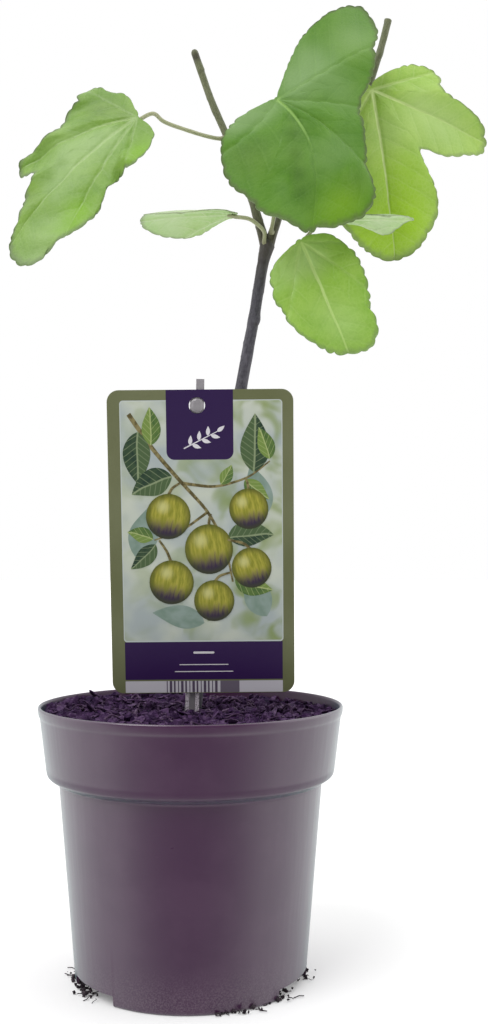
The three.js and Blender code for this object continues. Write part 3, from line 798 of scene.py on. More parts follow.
# base: the root. along: the way the midrib runs. face: the way the upper side looks.
# veins: directions of the main veins in degrees. shows: how strongly each is drawn near the
# stalk and past its fading, and the mm where it fades. sweep: where, how wide and how far the
# veins are bent, in degrees. droop and curl: radii in mm. pleat and folds: rise for each mm out,
# where a fold has its direction and its spread in degrees. quilt: mm between side veins.
# wave: height and size in mm. painted glows, and painted sheens and shades: patches of x, z,
# radius and amount; a glow is painted light through the leaf, and a sheen below 0 is painted
# shade.
YOUNG = dict(
    face=[0, 0.06, 1], veins=[-70, -34, 0, 34, 70], droop=400, curl=28, pleat=0.02, quilt=0.1,
    wave=(0.6, 14), folds=[],
    shows=[[0.3, 0.2, 20], [0.3, 0.2, 20], [0.5, 0.4, 30], [0.3, 0.2, 20], [0.3, 0.2, 20]])
LEAVES = {
    "front": dict(
        base=[36.9, 0, 374.4], along=[0.2, -0.35, -0.93], face=[0.1, -1, 0.3],
        veins=[-50, 3, 41, 80, 116], droop=250, curl=500, pleat=0.035, quilt=0.12, wave=(1.5, 22),
        folds=[[116, 0.09, 16], [3, -0.07, 8], [-12, 0.05, 11], [80, -0.02, 16]],
        shows=[[0.06, 0.04, 30], [0.9, 0.08, 30], [0.1, 0.04, 30], [0.1, 0.06, 30],
               [0.15, 0.06, 40]],
        sweep=(0, 50, 36),
        painted_glows=[[64.5, 327, 10, 0.9], [55, 318, 8, 0.4], [69, 404, 10, 0.5], [28, 343, 9, 0.2]],
        painted_sheens_and_shades=[[55, 390, 11, 0.6], [45, 378, 9, 0.5], [61, 349, 11, 0.4], [25, 366, 8, 0.9],
               [17, 360, 7, 0.8], [33, 371, 6, 0.5], [41, 332, 6, 0.3], [70, 407, 10, 0.6],
               [66, 379, 8, 0.35], [70, 338, 8, -0.4], [43, 387, 7, 0.5], [50, 398, 7, 0.4],
               [43.5, 366, 4, -0.4], [44, 357, 4.5, -0.5], [44.5, 348, 4.5, -0.5],
               [45, 339, 4.5, -0.5], [45.5, 331, 4.5, -0.5], [24, 349, 13, -0.5],
               [55, 364, 6, -0.2]]),
    "right": dict(
        base=[80.6, 27, 389.4], along=[0.14, -0.1, -0.98], face=[0.15, -1, 0.25],
        veins=[-80, -36, 2, 64, 104], droop=250, curl=330, pleat=0.05, quilt=0.15, wave=(1.4, 20),
        folds=[[2, -0.05, 8], [64, -0.05, 9], [30, 0.04, 12], [85, 0.04, 12]],
        shows=[[0.4, 0.2, 30], [0.4, 0.2, 40], [1.0, 0.75, 60], [0.85, 0.35, 26], [0.4, 0.2, 30]],
        painted_glows=[[93, 350, 14, 0.6], [90, 326, 14, 0.9], [78, 327, 12, 0.8], [98, 333, 10, 0.5]],
        painted_sheens_and_shades=[[112, 374, 14, 0.6], [102, 385, 8, 0.35], [88, 370, 10, 0.35], [85, 391, 5, -0.45],
               [80, 385, 4, -0.3]]),
    "left": dict(
        base=[-24, 6.5, 369], along=[-0.66, -0.25, -0.72], face=[-0.15, -0.85, 0.5],
        veins=[-92, -31, -3, 14, 34], droop=330, curl=500, pleat=0.04, quilt=0.15, wave=(1.5, 11),
        folds=[[-31, -0.05, 9], [-45, 0.03, 12], [-18, 0.04, 9], [-70, -0.04, 8]],
        shows=[[0.1, 0.05, 30], [0.5, 0.2, 30], [0.4, 0.2, 60], [0.3, 0.12, 40], [0.2, 0.1, 20]],
        sweep=(-35, 36, -20),
        painted_glows=[[-19.5, 352, 6, 1.0], [-24, 348, 5, 0.6], [-51, 317, 8, 1.0], [-47, 325, 7, 0.8]],
        painted_sheens_and_shades=[[-42, 358, 9, 0.6], [-54, 353, 9, 0.5], [-33, 363, 6, 0.4], [-62, 336, 8, 0.4],
               [-40, 375, 8, -0.5], [-29, 370, 5, -0.5], [-68, 333, 6, -0.5], [-62, 306, 11, 0.6],
               [-52, 342, 8, 0.3], [-58, 322, 6, 0.3]]),
    "low": dict(
        base=[47.4, 4, 314.4], along=[0.42, -0.25, -0.87], face=[-0.1, -1, 0.35],
        veins=[-72, -35, -3, 28, 65], droop=250, curl=250, pleat=0.04, quilt=0.25, wave=(1.1, 16),
        folds=[[-3, -0.06, 12]],
        shows=[[0.25, 0.1, 16], [0.4, 0.12, 18], [1.0, 0.55, 50], [0.6, 0.15, 20], [0.25, 0.1, 16]],
        painted_glows=[[48, 296, 8, 0.4], [60, 300, 7, 0.4]],
        painted_sheens_and_shades=[[66, 277, 9, 0.45], [56, 283, 8, 0.2], [50, 307, 9, 0.85], [41, 299, 6, 0.5]]),
    "small_left": dict(
        YOUNG, base=[18.8, 8, 328], along=[-1, 0, -0.02],
        painted_glows=[[0, 323, 6, 0.3]], painted_sheens_and_shades=[[-8, 325, 9, 0.4]]),
    "small_right": dict(
        YOUNG, base=[66.4, 6, 325.2], along=[1, -0.06, 0],
        painted_glows=[], painted_sheens_and_shades=[[82, 322, 7, 0.6]]),
    "back": dict(
        base=[44.7, 48, 376.6], along=[-0.06, 0.3, -0.95], face=[0, 1, 0.3],
        veins=[-88, -42, 0, 42, 88], droop=200, curl=120, pleat=0.05, quilt=0.3, wave=(1.2, 20),
        folds=[[0, -0.05, 12]],
        shows=[[0.5, 0.3, 20], [0.6, 0.4, 30], [0.9, 0.6, 40], [0.6, 0.4, 30], [0.5, 0.3, 20]],
        painted_glows=[[40, 348, 10, 0.5]], painted_sheens_and_shades=[[48, 362, 10, 0.4]]),
}
print("longest reach in mm:", max(reach for margin in MARGINS.values() for _, reach in margin))

# %% Bend a flat blade into its place
FOLD_SOFTNESS = 3.5  # degrees
MARGIN_SOFTNESS = 1.2  # degrees


class Blade:
    """One leaf's shape: from flat places on it, in mm, to places in the frame."""

    def __init__(self, margin, base, along, face, veins, droop, curl, pleat, quilt, wave, folds,
                 shows, painted_glows, painted_sheens_and_shades, sweep=(0, 1, 0)):
        self.margin = np.array(margin, float).T
        self.root = np.array(base, float)
        self.ahead = unit(along)
        self.up = unit(np.array(face) - self.ahead * (np.array(face) @ self.ahead))
        self.aside = np.cross(self.up, self.ahead)
        self.veins = np.array(veins, float)
        self.droop, self.curl, self.pleat, self.quilt, self.wave = droop, curl, pleat, quilt, wave
        self.folds, self.shows, self.painted_glows, self.painted_sheens_and_shades = folds, np.array(shows), painted_glows, painted_sheens_and_shades
        self.sweep = sweep

    def reach(self, directions):
        """How far the blade reaches from the stalk, for directions in degrees from the midrib."""
        total = np.zeros(np.shape(directions))
        for turn, share in ((-MARGIN_SOFTNESS, 0.25), (0, 0.5), (MARGIN_SOFTNESS, 0.25)):
            total += share * np.interp(directions + turn, *self.margin, period=360)
        return np.maximum(total, BLADE_HEEL)

    def lift(self, directions):
        """How far the blade rises between two main veins, for each mm out from the stalk."""
        rise = np.zeros_like(directions)
        for start, end in zip(self.veins, self.veins[1:]):
            inside = (directions >= start) & (directions <= end)
            wave = np.sin(math.pi * (directions - start) / (end - start))
            rise[inside] = (self.pleat * (end - start) * wave / PLEAT_GAP)[inside]
        for middle, amount, spread in self.folds:
            turn = (directions - middle + 180) % 360 - 180
            rise += amount * np.exp(-np.sqrt(turn ** 2 + FOLD_SOFTNESS ** 2) / spread)
        return rise

    def swept(self, x, y):
        """Flat places turned so that the veins leave the stalk aside and bend to their lobes."""
        directions = np.degrees(np.arctan2(y, x))
        middle, spread, most = self.sweep
        share = np.minimum(np.hypot(x, y) / self.reach(directions), 1)
        turn = np.radians(most * (1 - share) ** 1.2 * hump(directions, middle, spread))
        return x * np.cos(turn) - y * np.sin(turn), x * np.sin(turn) + y * np.cos(turn)

    def place(self, x, y, extra=0):
        """The blade's middle surface at flat places, with a little extra height."""
        directions = np.degrees(np.arctan2(y, x))
        raised = np.hypot(x, y) * self.lift(directions) + extra
        x, y = self.swept(x, y)
        bend = y / self.curl
        aside = (self.curl + raised) * np.sin(bend)
        height = (self.curl + raised) * np.cos(bend) - self.curl
        dip = np.maximum(x, 0) / self.droop
        ahead = np.minimum(x, 0) + (self.droop + height) * np.sin(dip)
        depth = (self.droop + height) * np.cos(dip) - self.droop
        return (self.root + ahead[..., None] * self.ahead + aside[..., None] * self.aside
                + depth[..., None] * self.up)

    def patches(self, points, spots):
        """Soft round patches of painted light and shade at (x, z, radius, amount), seen from the
        front.
        """
        total = np.zeros(len(points))
        for x, z, radius, amount in spots:
            gap = np.hypot(points[:, 0] - x, points[:, 2] - z) / radius
            total += amount * hump(gap, 0, 1)
        return total

    def vein_show(self, x, y):
        """How strongly the nearest main vein is drawn: near the stalk, and past its fading."""
        near, far, fading = self.shows[nearest_vein(self, np.degrees(np.arctan2(y, x)))].T
        return near + (far - near) * smooth_step(np.hypot(x, y) / fading, 0.4, 1)

    def vein_places(self, x, y, vein):
        """Distance along and across one main vein, for flat places."""
        turn = np.radians(self.veins[vein])
        return x * np.cos(turn) + y * np.sin(turn), y * np.cos(turn) - x * np.sin(turn)


def nearest_vein(blade, directions):
    """Which main vein each direction belongs to."""
    return np.abs(directions[..., None] - blade.veins).argmin(-1)


def leaf_blade(name):
    """The shape of one leaf."""
    return Blade(MARGINS[name], **LEAVES[name])


SPOKE_GAP = 1.5  # mm along the margin
SPOKE_TURN = 2.0  # degrees


def spoke_directions(blade):
    """Spokes for a blade's grid: as even along the margin as can be, and some beside each vein."""
    fine = np.arange(-180, 180, 0.1)
    margin = on_circle(np.radians(fine)) * blade.reach(fine)[:, None]
    strides = np.linalg.norm(np.diff(margin, axis=0, append=margin[:1]), axis=1)
    walked = np.cumsum(strides / SPOKE_GAP + 0.1 / SPOKE_TURN)
    even = np.interp(np.arange(0.5, walked[-1]), walked, fine)
    close = [vein + offset for vein in blade.veins for offset in (-2, -1.1, -0.5, 0, 0.5, 1.1, 2)]
    between = (blade.veins[1:] + blade.veins[:-1]) / 2
    fixed = np.concatenate([close, between])
    even = even[np.abs(even[:, None] - fixed[None]).min(1) > 0.3]
    return np.sort(np.concatenate([even, fixed]))


print("a spoke grid has", len(spoke_directions(leaf_blade("front"))), "spokes")

# %% Grow the leaves
BLADE_RINGS = 40
BLADE_THICKNESS = 0.5  # mm, like the sizes below
TOOTH_GAP, TOOTH_SIZE = 5.4, 1.1
GROOVE_DEPTH, RIB_HEIGHT = 0.25, 0.75
PROBE = 0.4  # how far on each side the blade is felt for its slope
FIRST_SEED, SEED_STEP = 40, 7
LEAF_SLOTS = {"front": "leaf_mature", "back": "leaf_mature",
              "small_left": "leaf_young", "small_right": "leaf_young"}


def toothed_outline(blade, directions, seed):
    """The flat margin, and how far and which way its teeth push it out."""
    reach = blade.reach(directions)
    outline = on_circle(np.radians(directions)) * reach[:, None]
    run = np.roll(outline, -1, 0) - np.roll(outline, 1, 0)
    outward = unit(np.stack([run[:, 1], -run[:, 0]], 1))
    uneven = walked(outline) + 1.8 * ripples(outline, 9, seed)
    tooth = np.abs(np.sin(math.pi * uneven / TOOTH_GAP)) ** 0.7 - 0.55
    size = TOOTH_SIZE * smooth_step(reach, 8, 24) * (0.8 + 0.45 * ripples(outline, 14, seed + 1))
    return outline, outward * (tooth * size)[:, None]


def side_cushions(along, across):
    """1 on the cushions between side veins and 0 on the veins, with the veins' own lean."""
    lean = along - SIDE_VEIN_LEAN * np.abs(across)
    phase = lean / SIDE_VEIN_GAP + 0.5 * (across < 0)
    cushions = 0.5 - 0.5 * np.cos(2 * math.pi * (phase - 0.5))
    return cushions * smooth_step(lean, 0, 8)


def blade_sheets(blade, directions, shares, seed):
    """The blade's flat grid, and the points of its upper and under sides."""
    outline, teeth = toothed_outline(blade, directions, seed)
    flat = shares[:, None, None] * outline + (shares ** 9)[:, None, None] * teeth
    x, y = flat[..., 0], flat[..., 1]
    along, across = blade.vein_places(x, y, nearest_vein(blade, directions))
    far, shares = np.hypot(x, y), shares[:, None]
    wave_height, wave_size = blade.wave
    wave = ripples(flat, wave_size, seed + 2) * wave_height * shares ** 1.8
    wave *= smooth_step(far, 5, 30)
    cushion = blade.quilt * side_cushions(along, across) * (1 - shares ** 6)
    taper = np.clip(1.1 - along / 85, 0.15, 1) * smooth_step(far, 0, 4)
    rib = hump(across, 0, 0.35 + 0.8 * taper) * taper
    half = BLADE_THICKNESS * (1 - 0.5 * shares ** 12) / 2
    middle = blade.place(x, y, wave)
    down_x = blade.place(x + PROBE, y, wave) - blade.place(x - PROBE, y, wave)
    down_y = blade.place(x, y + PROBE, wave) - blade.place(x, y - PROBE, wave)
    normal = unit(np.cross(down_x, down_y))
    upper = middle + normal * (half + cushion - GROOVE_DEPTH * rib)[..., None]
    lower = middle + normal * (-half + cushion - RIB_HEIGHT * rib)[..., None]
    return flat, upper, lower


def blade_faces(rings, spokes):
    """Faces of the upper side, the under side, the rim and the heart, and each one's finish."""
    sheet = rings * spokes
    quads = grid_faces(rings, spokes)
    rim = np.arange(spokes) + (rings - 1) * spokes
    rim_next = np.roll(rim, -1)
    skirt = np.stack([rim_next, rim_next + sheet, rim + sheet, rim], 1)
    faces = [*quads[:, ::-1].tolist(), *(quads + sheet).tolist(), *skirt.tolist()]
    for spoke in range(spokes):
        following = (spoke + 1) % spokes
        faces.append([2 * sheet, spoke, following])
        faces.append([2 * sheet + 1, sheet + following, sheet + spoke])
    return faces, [0] * len(quads) + [1] * (len(quads) + spokes) + [0, 1] * spokes


def corner_veins(blade, directions, faces):
    """One main vein for all corners of a face, so that the lines don't smear."""
    gaps = (np.roll(directions, -1) - directions) % 360
    owner = nearest_vein(blade, (directions + gaps / 2 + 180) % 360 - 180)
    quads = len(faces) - 2 * len(owner)
    return np.concatenate([np.repeat(np.resize(owner, quads), 4), np.repeat(owner, 2 * 3)])


def grow_leaf(name, seed):
    """One leaf. The heart is a point above and a point below, where all spokes meet."""
    blade = leaf_blade(name)
    directions = spoke_directions(blade)
    shares = np.linspace(0, 1, BLADE_RINGS + 1)[1:] ** 0.85
    flat, upper, lower = blade_sheets(blade, directions, shares, seed)
    heart = blade.place(np.zeros(1), np.zeros(1))[0]
    points = np.vstack([
        upper.reshape(-1, 3), lower.reshape(-1, 3),
        heart + blade.up * BLADE_THICKNESS / 2, heart - blade.up * BLADE_THICKNESS])
    flat = np.vstack([flat.reshape(-1, 2), flat.reshape(-1, 2), np.zeros((2, 2))])
    faces, kinds = blade_faces(len(shares), len(directions))
    corners = flat[np.concatenate(faces)]
    labels = {
        "blade_place": flat,
        "vein_place": np.stack(blade.vein_places(
            *corners.T, corner_veins(blade, directions, faces)), 1),
        "margin": np.append(np.tile(np.repeat(shares, len(directions)), 2), [0, 0]),
        # painted glow of light through the leaf, then painted sheen, which below 0 is painted shade
        "painted_glow": blade.patches(points, blade.painted_glows).clip(0, 1),
        "painted_sheen_and_shade": blade.patches(points, blade.painted_sheens_and_shades).clip(-1, 0.85),
        "vein_show": blade.vein_show(*flat.T),
    }
    return make_piece(f"leaf_{name}_blade", points, faces, leaf_finishes(name),
                      LEAF_SLOTS.get(name, "leaf_fresh"), f"leaf_{name}", labels, kinds)


for number, name in enumerate(LEAVES):
    grow_leaf(name, FIRST_SEED + SEED_STEP * number)

# %% [markdown]
# ## Bark
# The stem is a year old, smooth and grey with a violet bloom. The shoots are greener. On both,
# the bark is marked by what grew there: a raised ring and a scar where each leaf fell, small
# corky dots, and fine cracks that run along the wood. Rings, scars and dots are in the mesh,
# because they break the outline. The streaks are noise stretched along the limb, and one group
# draws them for the stem, the shoots and the leaf stalks, each in its own colours.

# %% Build the bark's shader group


def make_bark_group():
    """The skin of a limb, round it and along it."""
    tree, give = new_group("fig_bark", {
        "Turn": ORIGIN, "Run": 0.0, "Scar": 0.0, "Age": 0.0, "Old": GREY, "Base": GREY,
        "Streak": GREY, "Bloom": GREY, "Scar colour": GREY, "Streak length": 4.0,
        "Base roughness": 0.6})
    x, y, _ = split(give["Turn"])
    run = give["Run"] / give["Streak length"]
    place = new_node(tree, "CombineXYZ", {0: x, 1: y, 2: run})
    streaks = noise(place, 3.2, 4.0, 0.6, 0.4)
    patches = noise(place, 0.9, 2.0)
    fine = noise(place, 11.0, 3.0)
    skin = tint(step(streaks, 0.4, 0.62), give["Base"], give["Streak"])
    skin = tint(step(patches, 0.48, 0.72) * 0.6, skin, give["Bloom"])
    skin = tint(give["Age"] * step(streaks, 0.3, 0.7, 1.0, 0.7), skin, give["Old"])
    skin = tint(step(fine, 0.3, 0.45, 1.0, 0.0) * 0.3, skin, give["Scar colour"])
    skin = tint(give["Scar"], skin, give["Scar colour"])
    return end_group(tree, Color=skin, Roughness=patches * 0.2 + give["Base roughness"] - 0.1,
                     Height=streaks * 0.16 + fine * 0.1)


BARK_SKIN = make_bark_group()


def bark_material(name, shades, run_length, roughness, sheen=0.0):
    """Base, streak, bloom, scar and old colours, laid out by the limb's own coordinates."""
    material, tree, shader = new_material(name)
    values = named(("Base", "Streak", "Bloom", "Scar colour", "Old"), shades) | {
        "Turn": flat_place(tree, "bark_turn"), "Run": attribute(tree, "bark_run"),
        "Scar": attribute(tree, "bark_scar"), "Age": attribute(tree, "bark_age"),
        "Streak length": run_length, "Base roughness": roughness}
    finish_shader(shader, use_group(tree, BARK_SKIN, values), Specular_IOR_Level=0.4,
                  Sheen_Weight=sheen)
    return material


STEM_BARK = bark_material("stem_bark", [
    (72, 70, 78), (90, 88, 96), (108, 105, 114), (52, 46, 50), (84, 78, 68)], 5.0, 0.55)
SHOOT_BARK = bark_material("shoot_bark", [
    (106, 112, 80), (124, 128, 96), (136, 138, 112), (62, 57, 48), (78, 70, 62)], 6.0, 0.5)
STALK_SKIN = bark_material("stalk_skin", [
    (164, 170, 128), (188, 192, 150), (204, 204, 172), (128, 118, 96), (156, 156, 116)],
    9.0, 0.5, 0.15)
print("bark group has", len(BARK_SKIN.nodes), "nodes")

# %% [markdown]
# ## Stem and shoots
# Each limb is one closed tube. A node is a low ring all round with a bud scar on one side, and
# the nodes turn a third of the way round the limb from one to the next, as fig leaves do. The
# shoots start inside the stem's rounded top, so that wood runs into wood with no seam.

# %% Give the limbs their relief


def skin_places(turns, radii, runs):
    """Places on a limb's skin, for a random field to read."""
    return np.stack(np.broadcast_arrays(np.cos(turns) * radii, np.sin(turns) * radii, runs), -1)


def limb_relief(nodes, dots, seed, ridge):
    """A relief function from nodes at (place, turn, size) and a number of corky dots."""
    rng = np.random.default_rng(seed)

    def relief(places, turns, radii):
        skin = skin_places(turns, radii, places * 0.22)
        rise = ridge * ripples(skin, 1.3, seed) + 0.5 * ridge * ripples(skin, 0.6, seed + 1)
        for place, turn, size in nodes:
            near = np.cos(turns - turn)
            ring = hump(places, place + 0.5 * near, 2.3)
            scar = hump(places, place - 2.0, 0.5) * smooth_step(near, 0.2, 0.8)
            rise = rise + size * (ring * (0.2 + 0.8 * smooth_step(near, -0.2, 1)) - 0.35 * scar)
        ends = float(places.min()), float(places.max())
        for _ in range(dots):
            place, turn = rng.uniform(*ends), rng.uniform(0, 2 * math.pi)
            gap = np.abs((turns - turn + math.pi) % (2 * math.pi) - math.pi) * radii
            rise = rise + 0.16 * hump(places, place, 0.6) * hump(gap, 0, 0.35)
        return rise

    return relief


def limb_scars(labels, nodes, cuts):
    """Darkens the limb round its nodes and at its cut end."""
    run = labels["bark_run"]
    turn = np.arctan2(labels["bark_turn"][:, 1], labels["bark_turn"][:, 0])
    dark = np.zeros(len(run))
    for place, way, size in nodes:
        near = smooth_step(np.cos(turn - way), -0.2, 0.9)
        scar, ring = hump(run, place - 2.0, 0.8), hump(run, place - 2.3, 0.5)
        dark += size * (1.1 * near * scar + 0.3 * ring)
    for place, reach, amount in cuts:
        dark += amount * hump(run, place, reach)
    labels["bark_scar"] = np.clip(dark, 0, 1)


def grow_limb(name, finish, slot, nodes, dots, seed, gap, sides, dome, age, cuts, ridge):
    """age is the run where the bark is still oldest, the run where that ends, and how much."""
    relief = limb_relief(nodes, dots, seed, ridge)
    points, faces, labels = tube(*CURVES[name], gap, sides, relief, dome)
    limb_scars(labels, nodes, cuts)
    labels["bark_age"] = age[2] * smooth_step(labels["bark_run"], age[1], age[0])
    return make_piece(f"{name}_bark", points, faces, finish, slot, name, labels, crease=70)


STEM_NODES = [(19, 0.4, 0.25), (41, 2.6, 0.22), (66, 4.6, 0.25), (93, 0.7, 0.25), (117, 2.9, 0.25),
              (144, 5.0, 0.22), (176.5, 4.5, 0.5), (204, 2.4, 0.15)]
LEFT_NODES = [(7, 3.4, 0.15), (15, 1.2, 0.2), (34, 4.2, 0.2), (52, 3.3, 0.4), (66, 0.8, 0.2),
              (86, 3.6, 0.2)]
RIGHT_NODES = [(7, 0.3, 0.15), (15, 2.8, 0.2), (30, 5.3, 0.2), (58, 1.8, 0.2), (78, 5.6, 0.3),
               (100, 1.5, 0.2), (118, 4.4, 0.25), (134, 1.2, 0.2)]
grow_limb("stem", STEM_BARK, "bark", STEM_NODES, dots=90, seed=11, gap=0.5, sides=44,
          dome=(0, 0.9), age=(209, 188, 0.8), cuts=[(202, 1.6, 0.25)], ridge=0.07)
grow_limb("shoot_left", SHOOT_BARK, "shoot_bark", LEFT_NODES, dots=24, seed=12, gap=0.4,
          sides=32, dome=(0.4, 1.0), age=(2, 30, 0.9), cuts=[(91, 2.2, 0.8)], ridge=0.04)
grow_limb("shoot_right", SHOOT_BARK, "shoot_bark", RIGHT_NODES, dots=36, seed=13, gap=0.4,
          sides=32, dome=(0.4, 0.3), age=(2, 36, 0.9), cuts=[(150, 1.6, 0.7)], ridge=0.04)

# %% [markdown]
# ## Leaf stalks
# A stalk leaves the wood at a swollen foot, runs out almost straight and bends down under the
# blade, where it flattens into the midrib. It is the same tube as a shoot with a paler skin. Its
# foot is set a little way into the bark and its head runs into the rib, so that no joint shows.

# %% Grow the stalks
STALK_RADIUS = 0.85
# each stalk: its limb, the share of the limb's stations where it leaves, and what it runs through
STALKS = {
    "front": ("shoot_right", 0.14,
              [[35.5, 9.6, 325.5], [36.5, 9.2, 335], [37.2, 8, 350.1], [37.4, 5, 366.6]]),
    "right": ("shoot_right", 0.62, [[68.9, 35, 377], [74.9, 32.5, 383.8]]),
    "left": ("shoot_left", 0.64,
             [[9.2, 14.6, 363.4], [-2.7, 11.4, 365.7], [-12.5, 9, 368.6], [-16.8, 7.2, 371.3]]),
    "low": ("shoot_right", 0.3, [[45.3, 11.5, 329.6], [52, 8.5, 321]]),
    "small_left": ("shoot_right", 0.03,
                   [[31.6, 9.3, 320.2], [28.1, 8.8, 323.8], [25, 8.7, 325.8]]),
    "small_right": ("shoot_right", 0.36, [[48.7, 14, 331], [59.6, 9, 323.3]]),
    "back": ("shoot_left", 0.62, [[24, 25, 367.7], [34.8, 38, 374.6]]),
}


def limb_place(name, share):
    """The middle of a limb, its radius and its heading, at a share of its stations."""
    curve, radii = CURVES[name]
    place = min(int(round(share * (len(curve) - 1))), len(curve) - 2)
    return curve[place], radii[place], unit(curve[place + 1] - curve[place - 1])


def stalk_relief(length):
    """Fine ribs, a swollen foot and a slightly swollen head."""

    def relief(places, turns, radii):
        ribs = 0.05 * np.sin(5 * turns + 0.05 * places)
        ribs = ribs + 0.03 * ripples(skin_places(turns, 1, places * 0.2), 0.7, 5)
        return ribs + 0.55 * hump(places, 0, 1.8) + 0.18 * hump(places, length, 3.0)

    return relief


def grow_stalk(name):
    """A stalk from inside its limb, out through a gate in the bark, to its blade's midrib."""
    limb, share, through = STALKS[name]
    blade = leaf_blade(name)
    middle, radius, way = limb_place(limb, share)
    heading = unit(np.array(through[0]) - middle)
    slant = heading @ way
    outward = unit(heading - slant * way)
    start = middle + outward * (radius - 0.5)
    gate = middle + outward * (radius + 0.3 + STALK_RADIUS * abs(slant))
    under = blade.root - blade.up * 1.45
    end = blade.root - blade.up * 0.75 + blade.ahead * 3.2
    stations = [[*place, STALK_RADIUS] for place in (start, gate, *through, under)]
    curve, radii = limb_curve([*stations, [*end, 0.5]], 16)
    length = walked(curve)[-1]
    points, faces, labels = tube(curve, radii, 0.6, 18, stalk_relief(length), (0.2, 0.6))
    run = labels["bark_run"]
    labels["bark_scar"] = 0.4 * hump(run, 1.4, 1.2) + 0.2 * smooth_step(run, length - 5, length)
    labels["bark_age"] = 0.5 * smooth_step(run, 8, 2)
    return make_piece(f"stalk_{name}_skin", points, faces, STALK_SKIN, "leaf_stalk",
                      f"stalk_{name}", labels)


for name in STALKS:
    grow_stalk(name)

# %% [markdown]
# ## Pot
# The pot is thin plum-grey plastic, blown into a mould: a tapered body, a wider band at the rim
# with a rolled lip, and a foot ring cut away in three places so that water can leave. A turned
# section makes the body with every corner eased, because it is the small curves along the lip
# and the step that catch light. The three gaps in the foot ring and the three drain slots are
# cut out with solid blocks, and the plastic gets fine mould lines, scuffs and a paler tone
# towards the foot.

# %% Build the plastic's shader group


def make_plastic_group():
    """Moulded plastic with flow marks, scuffs and a paler overlay, in mm."""
    tree, give = new_group("moulded_plastic", {
        "Place": ORIGIN, "Body": GREY, "Worn": GREY, "Pale overlay": GREY, "Pale overlay amount": 0.0,
        "Wear amount": 0.3, "Base roughness": 0.35, "Swirl": 0.05})
    place = give["Place"]
    grain = noise(place, 1.6, 3.0)
    flow = noise(stretched(place, 1.0, 1.0, 0.12), 0.06, 3.0)
    cloud = noise(place, 0.035, 4.0)
    scuff = noise(stretched(place, 0.25, 0.25, 1.6), 0.5, 5.0, 0.75)
    worn = step(scuff, 0.6, 0.78) * give["Wear amount"]
    # a paler overlay: on the pot it pales the foot and the lip, on the stake it is a painted
    # highlight on the ribs
    pale_overlay = step(grain, 0.35, 0.7) * give["Pale overlay amount"]
    skin = tint(worn, give["Body"], give["Worn"])
    skin = tint(step(cloud, 0.4, 0.65) * give["Swirl"], skin, give["Worn"])
    skin = tint(pale_overlay, skin, give["Pale overlay"])
    rough = worn * 0.25 + give["Base roughness"] + (cloud - 0.5) * 0.12 + pale_overlay * 0.3
    return end_group(tree, Color=skin, Roughness=rough, Height=grain * 0.012 + flow * 0.35)


PLASTIC_SKIN = make_plastic_group()
print("plastic group has", len(PLASTIC_SKIN.nodes), "nodes")

# %% Mix the pot's plum plastic
# the plastic grows paler below these heights, and a little paler at the top of the lip
FOOT_PALING = (0.0, 22.0)  # heights in mm, as all below
LIP = (112.5, 115.5)
LEDGE_START, LEDGE_END = (81.5, 83.5), (88.0, 90.0)
BAND_RADIUS, BAND_LEAN = 49.2, 0.13  # the band's inside at height 0, and outwards for each mm up
BAND_TOP = (105.0, 106.0)


def make_pot_material():
    """Plum plastic with a coat that mirrors the walls, but not on the ledge or inside the rim."""
    material, tree, shader = new_material("plum_plastic")
    place = object_place(tree)
    x, y, height = split(place)
    # the pale overlay makes the plastic paler towards the foot and a little paler at the top of the
    # lip
    skin = use_group(tree, PLASTIC_SKIN, {
        "Place": place, "Body": colour(70, 42, 70), "Worn": colour(92, 66, 90),
        "Pale overlay": colour(118, 100, 114), "Wear amount": 0.2, "Base roughness": 0.3, "Swirl": 0.25,
        "Pale overlay amount": step(height, *FOOT_PALING, 0.5, 0.0) + step(height, *LIP, 0.0, 0.05)})
    finish_shader(shader, skin, Specular_IOR_Level=0.3, IOR=1.49, Coat_Roughness=0.22,
                  Coat_IOR=1.6, Sheen_Weight=0.1, Sheen_Roughness=0.4,
                  Sheen_Tint=(0.25, 1.0, 0.85, 1.0))
    facing = new_node(tree, "LayerWeight", {"Blend": 0.5}, "Facing")
    ledge = step(height, *LEDGE_START) - step(height, *LEDGE_END)
    beyond = maths("SQRT", x * x + y * y) - (height * BAND_LEAN + BAND_RADIUS)
    inside = step(beyond, 0.0, 0.3, 1.0, 0.0) * step(height, *BAND_TOP)
    coat = step(facing, 0.0, 0.27) * step(facing, 0.4, 0.85, 1.0, 0.5)
    coat *= step(ledge, 0.0, 1.0, 0.95, 0.5) * (1.0 - inside)
    feed(shader, {"Coat Weight": coat})
    return material


POT_PLASTIC = make_pot_material()

# %% Turn the pot and cut its foot
POT_SECTION = [
    [0, 0], [14, 0], [15.6, 4.5], [46.4, 4.5], [47.1, 0], [48.6, 0], [49.3, 0.7], [51.5, 27.4],
    [53.7, 54.1], [56.1, 83.2], [57.5, 84.2], [60.6, 85.8], [61.3, 87.3], [64.1, 110.6],
    [64.6, 111.6], [64.9, 113], [65, 114.7], [64.3, 115.4], [63.5, 114.7], [59.8, 88.5],
    [54.6, 84.6], [47.8, 7], [47.1, 6.3], [14.7, 6.3], [13.3, 1.8], [0, 1.8]]
POT_EASE = [0, 0.8, 1.2, 1.2, 0.5, 0.5, 0.8, 0, 0, 1.0, 1.2, 1.7, 1.6, 0.6, 0.6, 0.8, 0.5, 0.5, 0.5,
            2, 2, 1, 0.6, 1, 1, 0]
NOTCH_DIRECTIONS = [-54, 66, 186]  # degrees round from the front, towards +X
NOTCH_BLOCK = (36, 45.5, 66, -1, 4.5)  # width in degrees, inner and outer radius, bottom, top
SLOT_BLOCK = (30, 38, 45.5, 1, 7.3)
POT_SIDES = 200


